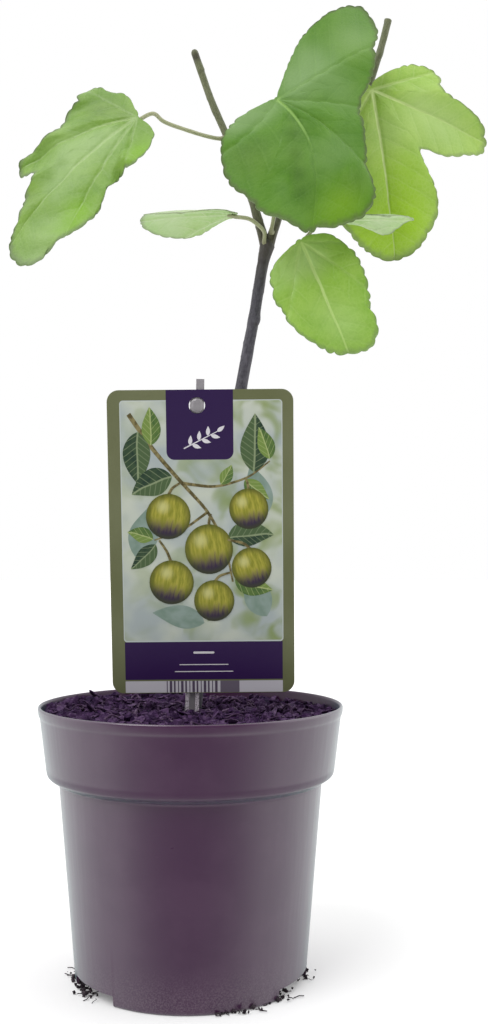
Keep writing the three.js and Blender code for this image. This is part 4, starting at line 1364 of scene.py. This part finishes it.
def ease_edges(block, width, angle):
    """Rounds the edges that turn by more than the angle."""
    bevel = block.modifiers.new("ease", "BEVEL")
    bevel.width, bevel.segments, bevel.limit_method = width * MM, 3, "ANGLE"
    bevel.angle_limit = math.radians(angle)


def combine(piece, blocks, how):
    """Adds blocks to a piece, or takes them away from it."""
    for block in blocks:
        change = piece.modifiers.new(block.name, "BOOLEAN")
        change.operation, change.solver, change.object = how, "EXACT", block


def sector_block(name, direction, width, inner, outer, bottom, top):
    """A curved block between two radii, for cutting."""
    arc = on_circle(np.radians(direction - 90 + np.linspace(-width / 2, width / 2, 10)))
    block = add_mesh(name, *prism(np.vstack([arc * outer, arc[::-1] * inner]), bottom, top))
    ease_edges(block, 0.8, 50)
    return block


def cut_away(piece, blocks):
    """Cuts the blocks out of a piece and removes them."""
    combine(piece, blocks, "DIFFERENCE")
    carved = finished_mesh(piece)
    piece.modifiers.clear()
    piece.data = carved
    for block in blocks:
        bpy.data.objects.remove(block)



points, faces = turned(eased(POT_SECTION, POT_EASE), POT_SIDES)
pot = make_piece("pot_shell", points, faces, POT_PLASTIC, "pot", "pot")
cut_away(pot, [sector_block(f"cut_{kind}_{turn}", turn, *shape)
               for turn in NOTCH_DIRECTIONS
               for kind, shape in (("notch", NOTCH_BLOCK), ("slot", SLOT_BLOCK))])
pot.data.set_sharp_from_angle(angle=math.radians(38))
print("pot after cutting:", len(pot.data.polygons), "faces")

# %% [markdown]
# ## Compost
# The compost is moist peat and fine bark, dark violet-brown, level but never flat. A single
# bumpy surface looks like tar, so it is built as a gardener would fill the pot: a rough bed,
# then some thousands of loose crumbs, a few hundred bark chips and a tangle of fibres. All of
# them are real meshes joined into a few pieces, and one group colours each by its own place.

# %% Mix the compost's colours


def make_compost_group():
    """Two dark colours in lumps with pale flecks, in mm."""
    tree, give = new_group("moist_compost", {
        "Place": ORIGIN, "Dark": GREY, "Mid": GREY, "Pale": GREY, "Pale amount": 0.2,
        "Lump": 2.5})
    place = give["Place"]
    lumps = noise(place, maths("DIVIDE", 1.0, give["Lump"]), 4.0, 0.65)
    grains = noise(place, 1.3, 3.0, 0.7)
    flecks = noise(place, 0.42, 3.0, 0.7)
    skin = tint(step(lumps, 0.36, 0.64), give["Dark"], give["Mid"])
    skin = tint(step(flecks, 0.5, 0.72) * give["Pale amount"], skin, give["Pale"])
    return end_group(tree, Color=skin, Roughness=step(grains, 0.2, 0.8, 0.7, 1.0),
                     Height=grains * 0.4 + lumps * 0.5)


COMPOST_SKIN = make_compost_group()


def compost_material(name, dark, mid, pale, amount, lump):
    """One kind of grain: three colours, how much of it is pale, and the size of its lumps."""
    material, tree, shader = new_material(name)
    values = named(("Dark", "Mid", "Pale"), (dark, mid, pale)) | {
        "Place": object_place(tree), "Pale amount": amount, "Lump": lump}
    finish_shader(shader, use_group(tree, COMPOST_SKIN, values), Specular_IOR_Level=0.16)
    return material


BED = compost_material("compost_bed", (46, 28, 57), (67, 45, 78), (98, 77, 108), 0.3, 3.0)
CRUMB = compost_material("compost_crumb", (54, 36, 64), (83, 62, 93), (120, 99, 130), 0.4, 5.0)
CHIP = compost_material("bark_chip", (66, 47, 76), (99, 78, 109), (142, 121, 146), 0.5, 4.0)
FIBRE = compost_material("peat_fibre", (66, 48, 72), (98, 79, 103), (152, 135, 155), 0.5, 6.0)
WASHED = compost_material("washed_crumb", (52, 47, 52), (76, 69, 74), (108, 101, 105), 0.4, 5.0)
print("compost group has", len(COMPOST_SKIN.nodes), "nodes")

# %% Lay the compost's bed
COMPOST_LEVEL = 110.3  # the CAD's bed, topped up with what is scattered on it
COMPOST_RADIUS = 62.3
STEM_FOOT = np.array([-1.8, 10.5])
BED_LUMPS = [(0.55, 7, 61), (0.5, 3.2, 62), (0.3, 1.5, 63), (0.16, 0.8, 64)]  # height, size, seed
BED_WALL = [(14, 6.6), (46.6, 6.6), (47.2, 7.8), (53.8, 84.2), (59.2, 89.2)]  # radius, height
BED_RINGS, BED_SPOKES = 76, 260


def compost_height(places):
    """The bed's height at places across and back, as the CAD has it, with finer lumps."""
    x, y = places[..., 0], places[..., 1]
    from_stem = np.hypot(x - STEM_FOOT[0], y - STEM_FOOT[1])
    slope = 0.022 * (x - STEM_FOOT[0] + 0.6 * (y - STEM_FOOT[1]))
    bumps = 0.9 * np.sin(2 * math.pi * x / 56) * np.cos(2 * math.pi * y / 44 + 1)
    fine = sum(height * ripples(places, size, seed) for height, size, seed in BED_LUMPS)
    edge = smooth_step(np.hypot(x, y), 50, COMPOST_RADIUS)
    return (COMPOST_LEVEL + smooth_step(from_stem, 7, 17.5) * (bumps - slope)
            + smooth_step(from_stem, 4, 9) * fine + 1.8 * edge)


def lay_bed():
    """The bed as one closed body: down the pot's wall, and rings from the wall to the middle."""
    ring = circle(BED_SPOKES)[1]
    rows = [at_height(ring * radius, height) for radius, height in BED_WALL]
    for share in np.linspace(1, 0, BED_RINGS, endpoint=False):
        flat = ring * COMPOST_RADIUS * share
        rows.append(at_height(flat, compost_height(flat)))
    points, faces = closed_rings(np.array(rows), BED_WALL[0][1], compost_height(np.zeros(2)))
    return make_piece("compost_bed", points, faces, BED, "compost", "compost")


lay_bed()

# %% Scatter crumbs, chips and fibres
BED_EDGE = COMPOST_RADIUS - 1.5  # how far out loose pieces lie
ABOUT_A_TURN = 6.28  # radians
CHIP_CORNERS = 7
FIBRE_STEPS = 12


def scatter_places(count, rng, limit=BED_EDGE):
    """Even random places on the bed, clear of the stem's foot."""
    places = []
    while len(places) < count:
        place = rng.uniform(-limit, limit, 2)
        if np.hypot(*place) < limit and np.hypot(*(place - STEM_FOOT)) > 5.2:
            places.append(place)
    return np.array(places)


def lump_form(detail):
    """A round lump to copy: an icosphere's points and faces."""
    mesh = bpy.data.meshes.new("lump")
    form = bmesh.new()
    bmesh.ops.create_icosphere(form, subdivisions=detail, radius=1)
    form.to_mesh(mesh)
    form.free()
    points, faces = points_and_faces(mesh)
    bpy.data.meshes.remove(mesh)
    return points, np.array(faces)


def random_turns(count, rng):
    """Random rotation matrices."""
    w, x, y, z = unit(rng.normal(size=(count, 4))).T
    rows = [[1 - 2 * (y * y + z * z), 2 * (x * y - z * w), 2 * (x * z + y * w)],
            [2 * (x * y + z * w), 1 - 2 * (x * x + z * z), 2 * (y * z - x * w)],
            [2 * (x * z - y * w), 2 * (y * z + x * w), 1 - 2 * (x * x + y * y)]]
    return np.array(rows).transpose(2, 0, 1)


def crumbs(count, low, high, detail, seed, spread=None):
    """Many lumps, each bent out of round in its own way. Gives points and faces."""
    rng = np.random.default_rng(seed)
    form, form_faces = lump_form(detail)
    places = scatter_places(count, rng) if spread is None else spread
    sizes = rng.uniform(low, high, count) * rng.uniform(0.6, 1.1, count)
    shapes = form * (1 + 0.28 * rng.normal(size=(count, len(form), 1)).clip(-1.6, 1.6))
    shapes = shapes * rng.uniform(0.55, 1.0, (count, 1, 3))
    shapes = np.einsum("nij,nkj->nki", random_turns(count, rng), shapes) * sizes[:, None, None] / 2
    if spread is None:
        places = at_height(places, compost_height(places) + sizes * 0.25 - 0.1)
    points = (shapes + places[:, None]).reshape(-1, 3)
    faces = form_faces + np.arange(count)[:, None, None] * len(form)
    return points, faces.reshape(-1, 3).tolist()


def chips(count, low, high, seed):
    """Flat splinters of bark with uneven outlines, lying at all angles."""
    rng = np.random.default_rng(seed)
    faces = grid_faces(3, CHIP_CORNERS).tolist() + cap_faces(0, CHIP_CORNERS, True)
    faces += cap_faces(2 * CHIP_CORNERS, CHIP_CORNERS, False)
    made = []
    for place in scatter_places(count, rng):
        length = rng.uniform(low, high)
        width, thick = length * rng.uniform(0.22, 0.6), rng.uniform(0.35, 0.9)
        turns = circle(CHIP_CORNERS)[0] + rng.uniform(-0.25, 0.25, CHIP_CORNERS)
        outline = on_circle(turns) * [length, width] / 2
        outline *= rng.uniform(0.75, 1.1, (CHIP_CORNERS, 1))
        rise = 0.12 * (outline[:, 0] / length * 2) ** 2 * length * rng.uniform(-1, 1)
        rows = [at_height(outline * share, rise + side * thick / 2)
                for share, side in ((0.85, -1), (1, 0), (0.82, 1))]
        tilt = Euler((rng.normal(0, 0.35), rng.normal(0, 0.3), rng.uniform(0, ABOUT_A_TURN)))
        form = np.vstack(rows) @ np.array(tilt.to_matrix()).T
        lift = compost_height(place) - form[:, 2].min() * 0.45
        made.append((form + [*place, lift], faces))
    return joined(*made)


def fibres(count, low, high, seed):
    """Thin curling fibres and root hairs that lie over the crumbs."""
    rng = np.random.default_rng(seed)
    made = []
    for place in scatter_places(count, rng, COMPOST_RADIUS - 7):
        stride = rng.uniform(low, high) / FIBRE_STEPS
        heading, turn = rng.uniform(0, ABOUT_A_TURN), rng.normal(0, 0.22)
        path = [place]
        for _ in range(FIBRE_STEPS):
            heading += turn + rng.normal(0, 0.16)
            path.append(path[-1] + stride * on_circle(heading))
        path = np.array(path)
        path *= np.minimum(1, BED_EDGE / np.hypot(*path.T).clip(1e-6))[:, None]
        arch = rng.uniform(0.3, 2.4) * np.sin(np.linspace(0, math.pi, len(path))) ** 2
        line = at_height(path, compost_height(path) + 0.45 + arch)
        radii = rng.uniform(0.28, 0.72) * np.linspace(1, 0.5, len(path))
        made.append(tube(line, radii, stride, 6)[:2])
    return joined(*made)


make_piece("compost_crumbs", *joined(crumbs(640, 1.6, 5.4, 2, 71), crumbs(2200, 0.5, 1.6, 1, 72)),
           CRUMB, "compost", crease=50)
make_piece("compost_chips", *chips(300, 4, 11, 73), CHIP, "compost", crease=35)
make_piece("compost_fibres", *fibres(95, 6, 18, 74), FIBRE, "compost")

# %% Leave a few crumbs where compost has washed out at the foot
# direction in degrees from +X, spread, and how many
FOOT_CRUMBS = [(-170, 22, 30), (-150, 20, 26), (-63, 24, 40), (-42, 20, 26), (-6, 16, 20),
               (150, 20, 14)]


def foot_places(rng):
    """Places round the foot, close to the gaps. Those that lie outside it lie low."""
    places = []
    for direction, spread, count in FOOT_CRUMBS:
        for _ in range(count):
            turn = math.radians(direction + rng.normal(0, spread / 3))
            reach = rng.uniform(46, 50.5) if rng.random() < 0.88 else rng.uniform(50.5, 54)
            places.append((*(reach * on_circle(turn)), rng.uniform(0.4, 2.8)))
    places = np.array(places)
    outside = np.hypot(places[:, 0], places[:, 1]) > 49
    places[outside, 2] = rng.uniform(0.4, 1.0, outside.sum())
    return places


def foot_fibres(count, rng):
    """Short bits of root that lie on the table beside the crumbs."""
    made = []
    places = foot_places(rng)
    for x, y, _ in places[rng.permutation(len(places))[:count]]:
        headings = rng.uniform(0, ABOUT_A_TURN) + np.cumsum(rng.normal(0, 0.5, 5))
        steps = at_height(on_circle(headings), rng.uniform(0, 0.3, 5)) * rng.uniform(0.4, 1)
        line = np.vstack([[0, 0, 0], np.cumsum(steps, 0)]) + [x, y, 0.25]
        made.append(tube(line, np.full(6, rng.uniform(0.12, 0.22)), 0.7, 6)[:2])
    return joined(*made)


def lay_foot_crumbs():
    """Crumbs and bits of root, with each crumb lifted until it lies on the table."""
    rng = np.random.default_rng(75)
    places = foot_places(rng)
    points, faces = crumbs(len(places), 0.7, 2.4, 2, 76, places)
    lumps = points.reshape(len(places), -1, 3)
    lumps[..., 2] -= np.minimum(lumps[..., 2].min(1), 0)[:, None]
    return make_piece("foot_crumbs", *joined((points, faces), foot_fibres(70, rng)), WASHED,
                      "compost", crease=50)


lay_foot_crumbs()

# %% [markdown]
# ## Label
# A picture label tells a buyer what the plant will bear. It is a stiff printed card with rounded
# corners, hung by a hole on the peg of a clear stake. The card is cut from a curve, because a
# filled curve with a small bevel gives a clean sheet with eased edges and a true hole. The flat
# parts of the print, which are the border, panel, tab, band and strip, are drawn by the finish
# from rounded boxes. The picture is a plain sprig of round fruit and oval leaves: each is a thin
# layer of ink of its own, shaded across by its own two coordinates.

# %% Set up the label's own frame
CARD_FOOT = (5.4, 0, 119.8)
CARD_LEAN, CARD_ROLL = 6.4, 0.5  # degrees to the front and towards -X
CARD_SIZE = (78, 129)
CARD_CORNER = 5
CARD_THICKNESS = 0.8
HOLE_PLACE, HOLE_RADIUS = (-1.3, 122.4), 3.4

LABEL_TURN = np.array((Matrix.Rotation(math.radians(CARD_LEAN), 3, "X")
                       @ Matrix.Rotation(math.radians(-CARD_ROLL), 3, "Y")))


def in_label(points):
    """Points of the label's frame as the plant's: x across, y behind and z up the card."""
    return np.asarray(points) @ LABEL_TURN.T + CARD_FOOT


def rounded_box(left, right, bottom, top, radius, steps):
    """The outline of a box with round corners."""
    low, high = bottom + radius, top - radius
    near, far = left + radius, right - radius
    corners = [(far, low, -90), (far, high, 0), (near, high, 90), (near, low, 180)]
    return np.vstack([
        [x, z] + radius * on_circle(np.radians(np.linspace(start, start + 90, steps)))
        for x, z, start in corners])


print("card leans", CARD_LEAN, "degrees and is", CARD_SIZE, "mm")

# %% Build the group that draws a rounded box of ink


def make_box_group():
    """A mask that is 1 inside a box with round corners, with a soft edge."""
    tree, give = new_group("printed_box", {
        "Place": ORIGIN, "Middle": ORIGIN, "Half size": ORIGIN, "Corner": 1.0}, ["Mask"])
    off = vector("ABSOLUTE", vector("SUBTRACT", give["Place"], give["Middle"]))
    x, y, _ = split(vector("SUBTRACT", off, give["Half size"]))
    x, y = x + give["Corner"], y + give["Corner"]
    outside = new_node(tree, "CombineXYZ", {
        0: maths("MAXIMUM", x, 0.0), 1: maths("MAXIMUM", y, 0.0)})
    inside = maths("MINIMUM", maths("MAXIMUM", x, y), 0.0)
    distance = vector("LENGTH", outside, out=1) + inside - give["Corner"]
    return end_group(tree, Mask=step(distance, -0.06, 0.06, 1.0, 0.0))


PRINTED_BOX = make_box_group()


def box_mask(place, left, right, bottom, top, corner):
    """1 inside a box of ink on the card."""
    return use_group(place.tree, PRINTED_BOX, {
        "Place": place, "Middle": ((left + right) / 2, (bottom + top) / 2, 0.0),
        "Half size": ((right - left) / 2, (top - bottom) / 2, 0.0), "Corner": corner})["Mask"]


print("printed boxes use", len(PRINTED_BOX.nodes), "nodes")

# %% Print the card
RIM = (-33.75, 34.35, 22.3, 124.65)  # left, right, bottom, top, in mm on the card
PANEL = (-33.4, 34.0, 22.9, 124.3)
# and each with its corner and its colour
BAND = (-33.4, 34.0, 5.9, 22.3, 0.2, (58, 31, 81))
STRIP = (-33.4, 34.0, 0.3, 5.3, 0.2, (200, 197, 205))
PATCH = (7.2, 15.4, 0.3, 5.3, 0.1, (112, 104, 118))
TAB = (-14.3, 13.8, 99.8, 133, 3.4, (56, 33, 79))  # it runs off the card's top edge
BARS = [(-15.6 + 1.62 * number, 0.42 + 0.34 * (number * 5 % 3)) for number in range(14)]


def print_on(shader, ink, place, scale):
    """Lays an ink on a shader, with a gloss that is a little uneven."""
    rough = step(noise(place, scale, 3.0), 0.2, 0.8, 0.34, 0.46)
    feed(shader, {"Base Color": ink, "Roughness": rough, "Specular IOR Level": 0.22})


def make_card_material():
    """The flat parts of the print: border, panel and boxes, and a plain back."""
    material, tree, shader = new_material("card_print")
    place = flat_place(tree, "card_place")
    ink = tint(step(noise(place, 0.03, 2.0), 0.3, 0.7), colour(108, 112, 80),
               colour(118, 122, 92))
    ink = tint(box_mask(place, *RIM, 1.5), ink, colour(196, 204, 202))
    sky = tint(step(noise(place, 0.045, 2.0), 0.35, 0.65), colour(172, 182, 182),
               colour(200, 206, 192))
    blur = step(noise(place, 0.07, 2.0, 0.5, 0.6), 0.42, 0.68)
    blur *= step(split(place)[0], -30.0, 26.0, 0.3, 0.9)
    ink = tint(box_mask(place, *PANEL, 1.2), ink, tint(blur, sky, colour(134, 152, 84)))
    bars = [(x - width / 2, x + width / 2, 0.3, 5.3, 0.05, (92, 82, 100)) for x, width in BARS]
    for *box, shade in (BAND, STRIP, *bars, PATCH, TAB):
        ink = tint(box_mask(place, *box), ink, colour(*shade))
    ink = tint(attribute(tree, "card_front"), colour(196, 196, 186), ink)
    print_on(shader, ink, place, 0.4)
    grain = noise(place, 2.2, 2.0) * 0.03
    feed(shader, {"Normal": new_node(tree, "Bump", {"Height": grain, "Distance": MM})})
    return material


def cut_card():
    """The card's points and faces in the label's frame, from a filled curve with a hole."""
    bevel = 0.12
    curve = bpy.data.curves.new("card_outline", "CURVE")
    curve.dimensions, curve.fill_mode = "2D", "BOTH"
    curve.extrude, curve.bevel_depth = CARD_THICKNESS / 2 - bevel, bevel
    curve.bevel_resolution, curve.offset = 2, -bevel
    width, height = CARD_SIZE
    hole = on_circle(np.radians(np.linspace(360, 0, 40, endpoint=False)))
    for outline in (rounded_box(-width / 2, width / 2, 0, height, CARD_CORNER, 10),
                    HOLE_PLACE + HOLE_RADIUS * hole):
        spline = curve.splines.new("POLY")
        spline.points.add(len(outline) - 1)
        spline.points.foreach_set("co", at_height(at_height(outline, 0), 1).ravel())
        spline.use_cyclic_u = True
    pattern = add("card_outline", curve)
    flat, faces = points_and_faces(finished_mesh(pattern))
    bpy.data.objects.remove(pattern)
    return flat[:, [0, 2, 1]] * [1, -1, 1], faces


card_points, card_faces = cut_card()
card_labels = {"card_place": card_points[:, [0, 2]],
               "card_front": (card_points[:, 1] < 0).astype(float)}
make_piece("label_sheet", in_label(card_points), card_faces, make_card_material(), "label_card",
           "label_card", card_labels, crease=40)

# %% Ink for the picture


def make_ink(name, paint):
    """A printed ink. paint gives the colour at the picture's own coordinates."""
    material, tree, shader = new_material(name)
    place = flat_place(tree, "motif_place")
    print_on(shader, paint(place), place, 3.0)
    return material


def paint_fruit(place):
    """Streaky skin with a dark blush below, a dark edge and a glint."""
    streak = noise(stretched(place, 5.0, 0.9, 1.0), 1.3, 3.0)
    blush = streak * 0.9 - split(place)[1]
    skin = tint(step(streak, 0.35, 0.65), colour(136, 138, 52), colour(178, 172, 76))
    skin = tint(step(blush, 0.45, 1.25), skin, colour(62, 48, 76))
    from_middle = vector("LENGTH", place, out=1)
    skin = tint(step(from_middle, 0.62, 1.02, 0.0, 0.75), skin, colour(66, 74, 40))
    from_glint = vector("DISTANCE", place, (-0.3, 0.38, 0.0), out=1)
    return tint(step(from_glint, 0.04, 0.42, 0.6, 0.0), skin, colour(214, 212, 150))


def paint_leaf(light, dark, vein):
    """A leaf with one darker half, a midrib and slanting side veins."""
    light, dark, vein = colour(*light), colour(*dark), colour(*vein)

    def paint(place):
        along, aside, _ = split(place)
        skin = tint(step(aside, -0.08, 0.08), dark, light)
        skin = tint(step(noise(place, 1.8, 3.0), 0.35, 0.7, 0.0, 0.5), skin, light)
        across = abs(aside)
        phase = maths("FRACT", (along - across * 0.5) * 3.6)
        skin = tint(step(abs(phase - 0.5), 0.03, 0.1, 0.5, 0.0), skin, vein)
        return tint(step(across, 0.03, 0.08, 0.85, 0.0), skin, vein)

    return paint


def paint_cloudy(dark, light, scale, low, high, detail=2.0):
    """Two near colours in clouds."""
    return lambda place: tint(step(noise(place, scale, detail), low, high),
                              colour(*dark), colour(*light))


PAINTS = {
    "ink_mist": paint_cloudy((124, 146, 132), (146, 164, 156), 1.2, 0.3, 0.7),
    "ink_twig": paint_cloudy((96, 88, 60), (142, 132, 92), 4.0, 0.4, 0.6, 3.0),
    "ink_dark_leaf": paint_leaf((84, 104, 72), (48, 66, 56), (146, 160, 124)),
    "ink_green_leaf": paint_leaf((122, 146, 78), (78, 106, 62), (178, 190, 130)),
    "ink_fruit": paint_fruit,
    "ink_white": paint_cloudy((214, 210, 216), (228, 226, 230), 2.0, 0.3, 0.7)}
MIST, TWIG, DARK_LEAF, GREEN_LEAF, FRUIT, WHITE = range(len(PAINTS))
INKS = [make_ink(name, paint) for name, paint in PAINTS.items()]
print(len(INKS), "inks")

# %% Draw the picture in thin layers


class Picture:
    """Collects thin layers of ink on the card's face."""

    def __init__(self):
        self.points, self.faces, self.kinds, self.marks = [], [], [], []

    def layer(self, outline, marks, level, ink):
        """A flat shape: its outline on the card, its own coordinates, how high it lies, its ink."""
        count = len(outline)
        ring = sum(map(len, self.points)) + np.arange(count)
        following = np.roll(ring, -1)
        sides = np.stack([ring, following, following + count, ring + count], 1)
        self.faces += [(ring + count).tolist(), *sides.tolist(), ring[::-1].tolist()]
        self.kinds += [ink] * (count + 2)
        for height in (-0.01, level):
            self.points.append(at_height(outline, -CARD_THICKNESS / 2 - height)[:, [0, 2, 1]])
            self.marks.append(marks)

    def leaf(self, x, z, length, width, turn, bend, level, ink):
        """A pointed oval leaf from its stalk end, bending as it goes."""
        run = np.linspace(0, 1, 18)
        half = np.sin(math.pi * run ** 0.85) ** 0.9 * (1 - 0.25 * run)
        heading = math.radians(turn) + math.radians(bend) * run
        spine = np.cumsum(on_circle(heading), 0) * length / len(run)
        side = on_circle(heading + math.pi / 2) * (half * width / 2)[:, None]
        outline = np.vstack([spine - side, (spine + side)[-2:0:-1]]) + [x, z]
        marks = np.column_stack([np.concatenate([run, run[-2:0:-1]]) * length / 10,
                                 np.concatenate([-half, half[-2:0:-1]])])
        self.layer(outline, marks, level, ink)

    def twig(self, line, widths, level, ink=TWIG):
        """A tapering twig through a few places."""
        steps = np.linspace(0, len(line) - 1, 6 * len(line))
        smooth = np.stack([np.interp(steps, range(len(line)), values) for values in zip(*line)], 1)
        for _ in range(6):
            smooth[1:-1] = (smooth[:-2] + smooth[1:-1] * 2 + smooth[2:]) / 4
        way = unit(np.gradient(smooth, axis=0))
        width = np.linspace(*widths, len(smooth))[:, None] / 2
        side = np.stack([-way[:, 1], way[:, 0]], 1) * width
        outline = np.vstack([smooth - side, (smooth + side)[::-1]])
        self.layer(outline, outline / 10, level, ink)

    def fruit(self, x, z, radius, level, squash, turn):
        """A round fruit with its own shading coordinates."""
        marks = circle(32)[1]
        spin = on_circle(math.radians(turn) + np.array([0, math.pi / 2]))
        self.layer(marks * [radius * squash, radius] @ spin + [x, z], marks, level, FRUIT)


def draw_sprig(picture):
    """Misty leaves far behind, then twigs, leaves and fruit, each layer above the last."""
    for x, z, length, width, turn, bend in ((-29, 58, 24, 14, 62, 20), (28, 32, 22, 13, 120, -20),
                                            (2, 30, 24, 11, 160, 16), (26, 74, 24, 13, 96, 14)):
        picture.leaf(x, z, length, width, turn, bend, 0.02, MIST)
    picture.twig([(-30, 119), (-20, 104), (-8, 90), (3, 78), (10, 64), (13, 48)], (2.0, 0.8), 0.04)
    picture.twig([(-8, 90), (6, 88), (20, 92), (29, 99)], (1.4, 0.6), 0.04)
    picture.twig([(3, 78), (-8, 70), (-20, 66)], (1.2, 0.6), 0.04)
    leaves = [(-26, 113, 24, 13, 262, 16, DARK_LEAF), (-21, 105, 17, 9, 84, 14, GREEN_LEAF),
              (-11, 93, 20, 13, 190, 26, DARK_LEAF), (22, 93, 26, 14, 84, 8, DARK_LEAF),
              (18, 92, 14, 8, -50, 20, GREEN_LEAF), (29, 99, 15, 8, 98, 20, GREEN_LEAF),
              (8, 89, 10, 6, 50, 20, GREEN_LEAF), (10, 66, 21, 12, 22, -34, DARK_LEAF),
              (13, 50, 18, 10, -30, 24, GREEN_LEAF), (12, 46, 18, 9.5, -112, -24, DARK_LEAF),
              (-20, 66, 12, 7.5, 150, 26, GREEN_LEAF), (-19, 65, 16, 8.5, 236, -22, DARK_LEAF)]
    for number, (x, z, length, width, turn, bend, ink) in enumerate(leaves):
        picture.leaf(x, z, length, width, turn, bend, 0.05 + 0.006 * number, ink)
    # each fruit hangs from a place on a twig
    fruits = [(20, 79, 8.6, 0.96, 8, (19, 91.5)), (-14, 76, 9.6, 0.98, -10, (-9, 90)),
              (3, 62, 10.6, 0.96, 6, (4, 77)), (-13, 48, 9.4, 1.0, -12, (-18, 66)),
              (21, 54, 8.6, 0.98, 14, (11, 66)), (5, 40, 8.8, 0.97, 0, (12, 52))]
    for number, (x, z, radius, squash, turn, (start_x, start_z)) in enumerate(fruits):
        level, top = 0.13 + 0.012 * number, z + radius - 1
        bend = ((start_x + 2 * x) / 3, (start_z + 2 * top) / 3 + 1.5)
        picture.twig([(start_x, start_z), bend, (x, top)], (0.9, 1.3), level - 0.005)
        picture.fruit(x, z, radius, level, squash, turn)


def draw_marks(picture):
    """White marks where a label has its words: a small sprig on the tab, rules on the band."""
    picture.twig([(-7, 104.5), (-1, 107.5), (7, 111.5)], (0.5, 0.35), 0.03, WHITE)
    for x, z, turn in ((-4.6, 105.8, 78), (-3.6, 106.2, -26), (-0.8, 107.7, 80), (0.4, 108.2, -22),
                       (3.0, 109.6, 82), (4.2, 110.0, -18), (6.8, 111.4, 32)):
        picture.leaf(x, z, 4.2, 1.9, turn, 10, 0.03, WHITE)
    for x, z, length in ((0.3, 17.6, 9.0), (0.3, 12.4, 21.0), (0.3, 9.4, 25.0)):
        half = 0.45 if length < 10 else 0.175
        rule = rounded_box(x - length / 2, x + length / 2, z - half, z + half, half / 1.1, 3)
        picture.layer(rule, np.zeros((len(rule), 2)), 0.03, WHITE)


picture = Picture()
draw_sprig(picture)
draw_marks(picture)
make_piece("label_picture", in_label(np.vstack(picture.points)), picture.faces, INKS,
           "label_card", labels={"motif_place": np.vstack(picture.marks)}, kinds=picture.kinds,
           crease=30)

# %% [markdown]
# ## Stake
# The stake is clear moulded plastic: a strip with a groove down its back, a peg through the
# card's hole and a short tongue at the top. Clear plastic shows every inner face, so strip, peg
# and tongue are joined into one skin before their edges are eased.

# %% Mould the stake
STAKE_TOP = 4.6  # above the peg
STAKE_LENGTH = 170
STAKE_SECTION = [(-2.9, 0), (-1.5, 0), (-1.2, 0.5), (1.2, 0.5), (1.5, 0), (2.9, 0),
                 (2.9, 2.2), (1.3, 2.2), (1.3, 1.2), (-1.3, 1.2), (-1.3, 2.2), (-2.9, 2.2)]
TONGUE_SECTION = [(-0.5, 0), (2.9, 0), (2.9, 1.1), (-0.5, 1.1)]
PEG_SECTION = [(0, -0.4), (3, -0.4), (3, 0.9), (2.7, 1.25), (2.1, 1.55), (1.2, 1.75), (0, 1.8)]
STAKE_ROLL = 1.7  # degrees


def on_stake(points):
    """Points of the stake's own frame, measured from its peg, as places on the plant."""
    points = np.asarray(points, float) + [0, CARD_THICKNESS / 2 + 0.3, 0]
    spun = points @ np.array(Matrix.Rotation(math.radians(STAKE_ROLL), 3, "Y")).T
    return in_label(spun + [HOLE_PLACE[0], 0, HOLE_PLACE[1]])


def domed_peg():
    """The peg: turned like a stud, then laid down to point out of the card."""
    points, faces = turned(np.array(PEG_SECTION, float), 40)
    return points[:, [0, 2, 1]] * [1, -1, 1], faces


def make_clear_plastic():
    """A milky clear plastic, with a painted highlight along the ribs."""
    material, tree, shader = new_material("clear_plastic")
    # the pale overlay, led by the ribs' mask, is a painted highlight along the ribs
    skin = use_group(tree, PLASTIC_SKIN, {
        "Place": object_place(tree), "Body": colour(168, 164, 168),
        "Worn": colour(206, 202, 206), "Pale overlay": colour(255, 246, 255), "Wear amount": 0.5,
        "Base roughness": 0.14, "Swirl": 0.2, "Pale overlay amount": attribute(tree, "painted_rib_highlight") * 4.0})
    finish_shader(shader, skin, 0.6, Transmission_Weight=0.35, IOR=1.46)
    return material


def mould_stake():
    """Strip, tongue and peg joined into one skin, with painted highlights on the strip's back ribs.
    """
    forms = {"strip": prism(STAKE_SECTION, STAKE_TOP - STAKE_LENGTH, STAKE_TOP),
             "tongue": prism(TONGUE_SECTION, STAKE_TOP - 1, STAKE_TOP + 6.4),
             "peg": domed_peg()}
    blocks = [add_mesh(f"stake_{name}", on_stake(points), faces)
              for name, (points, faces) in forms.items()]
    combine(blocks[0], blocks[1:], "UNION")
    ease_edges(blocks[0], 0.25, 40)
    points, faces = points_and_faces(finished_mesh(blocks[0]))
    for block in blocks:
        bpy.data.objects.remove(block)
    points = points / MM
    heart, side = on_stake([[0, 0, 0], [1, 0, 0]])
    across = np.abs((points - heart) @ (side - heart))
    below_peg = (heart[2] - points[:, 2]) > 4
    return make_piece("stake_clear", points, faces, make_clear_plastic(), "label_stake",
                      "label_stake", {"painted_rib_highlight": smooth_step(across, 1.25, 1.5) * below_peg},
                      crease=40)


mould_stake()
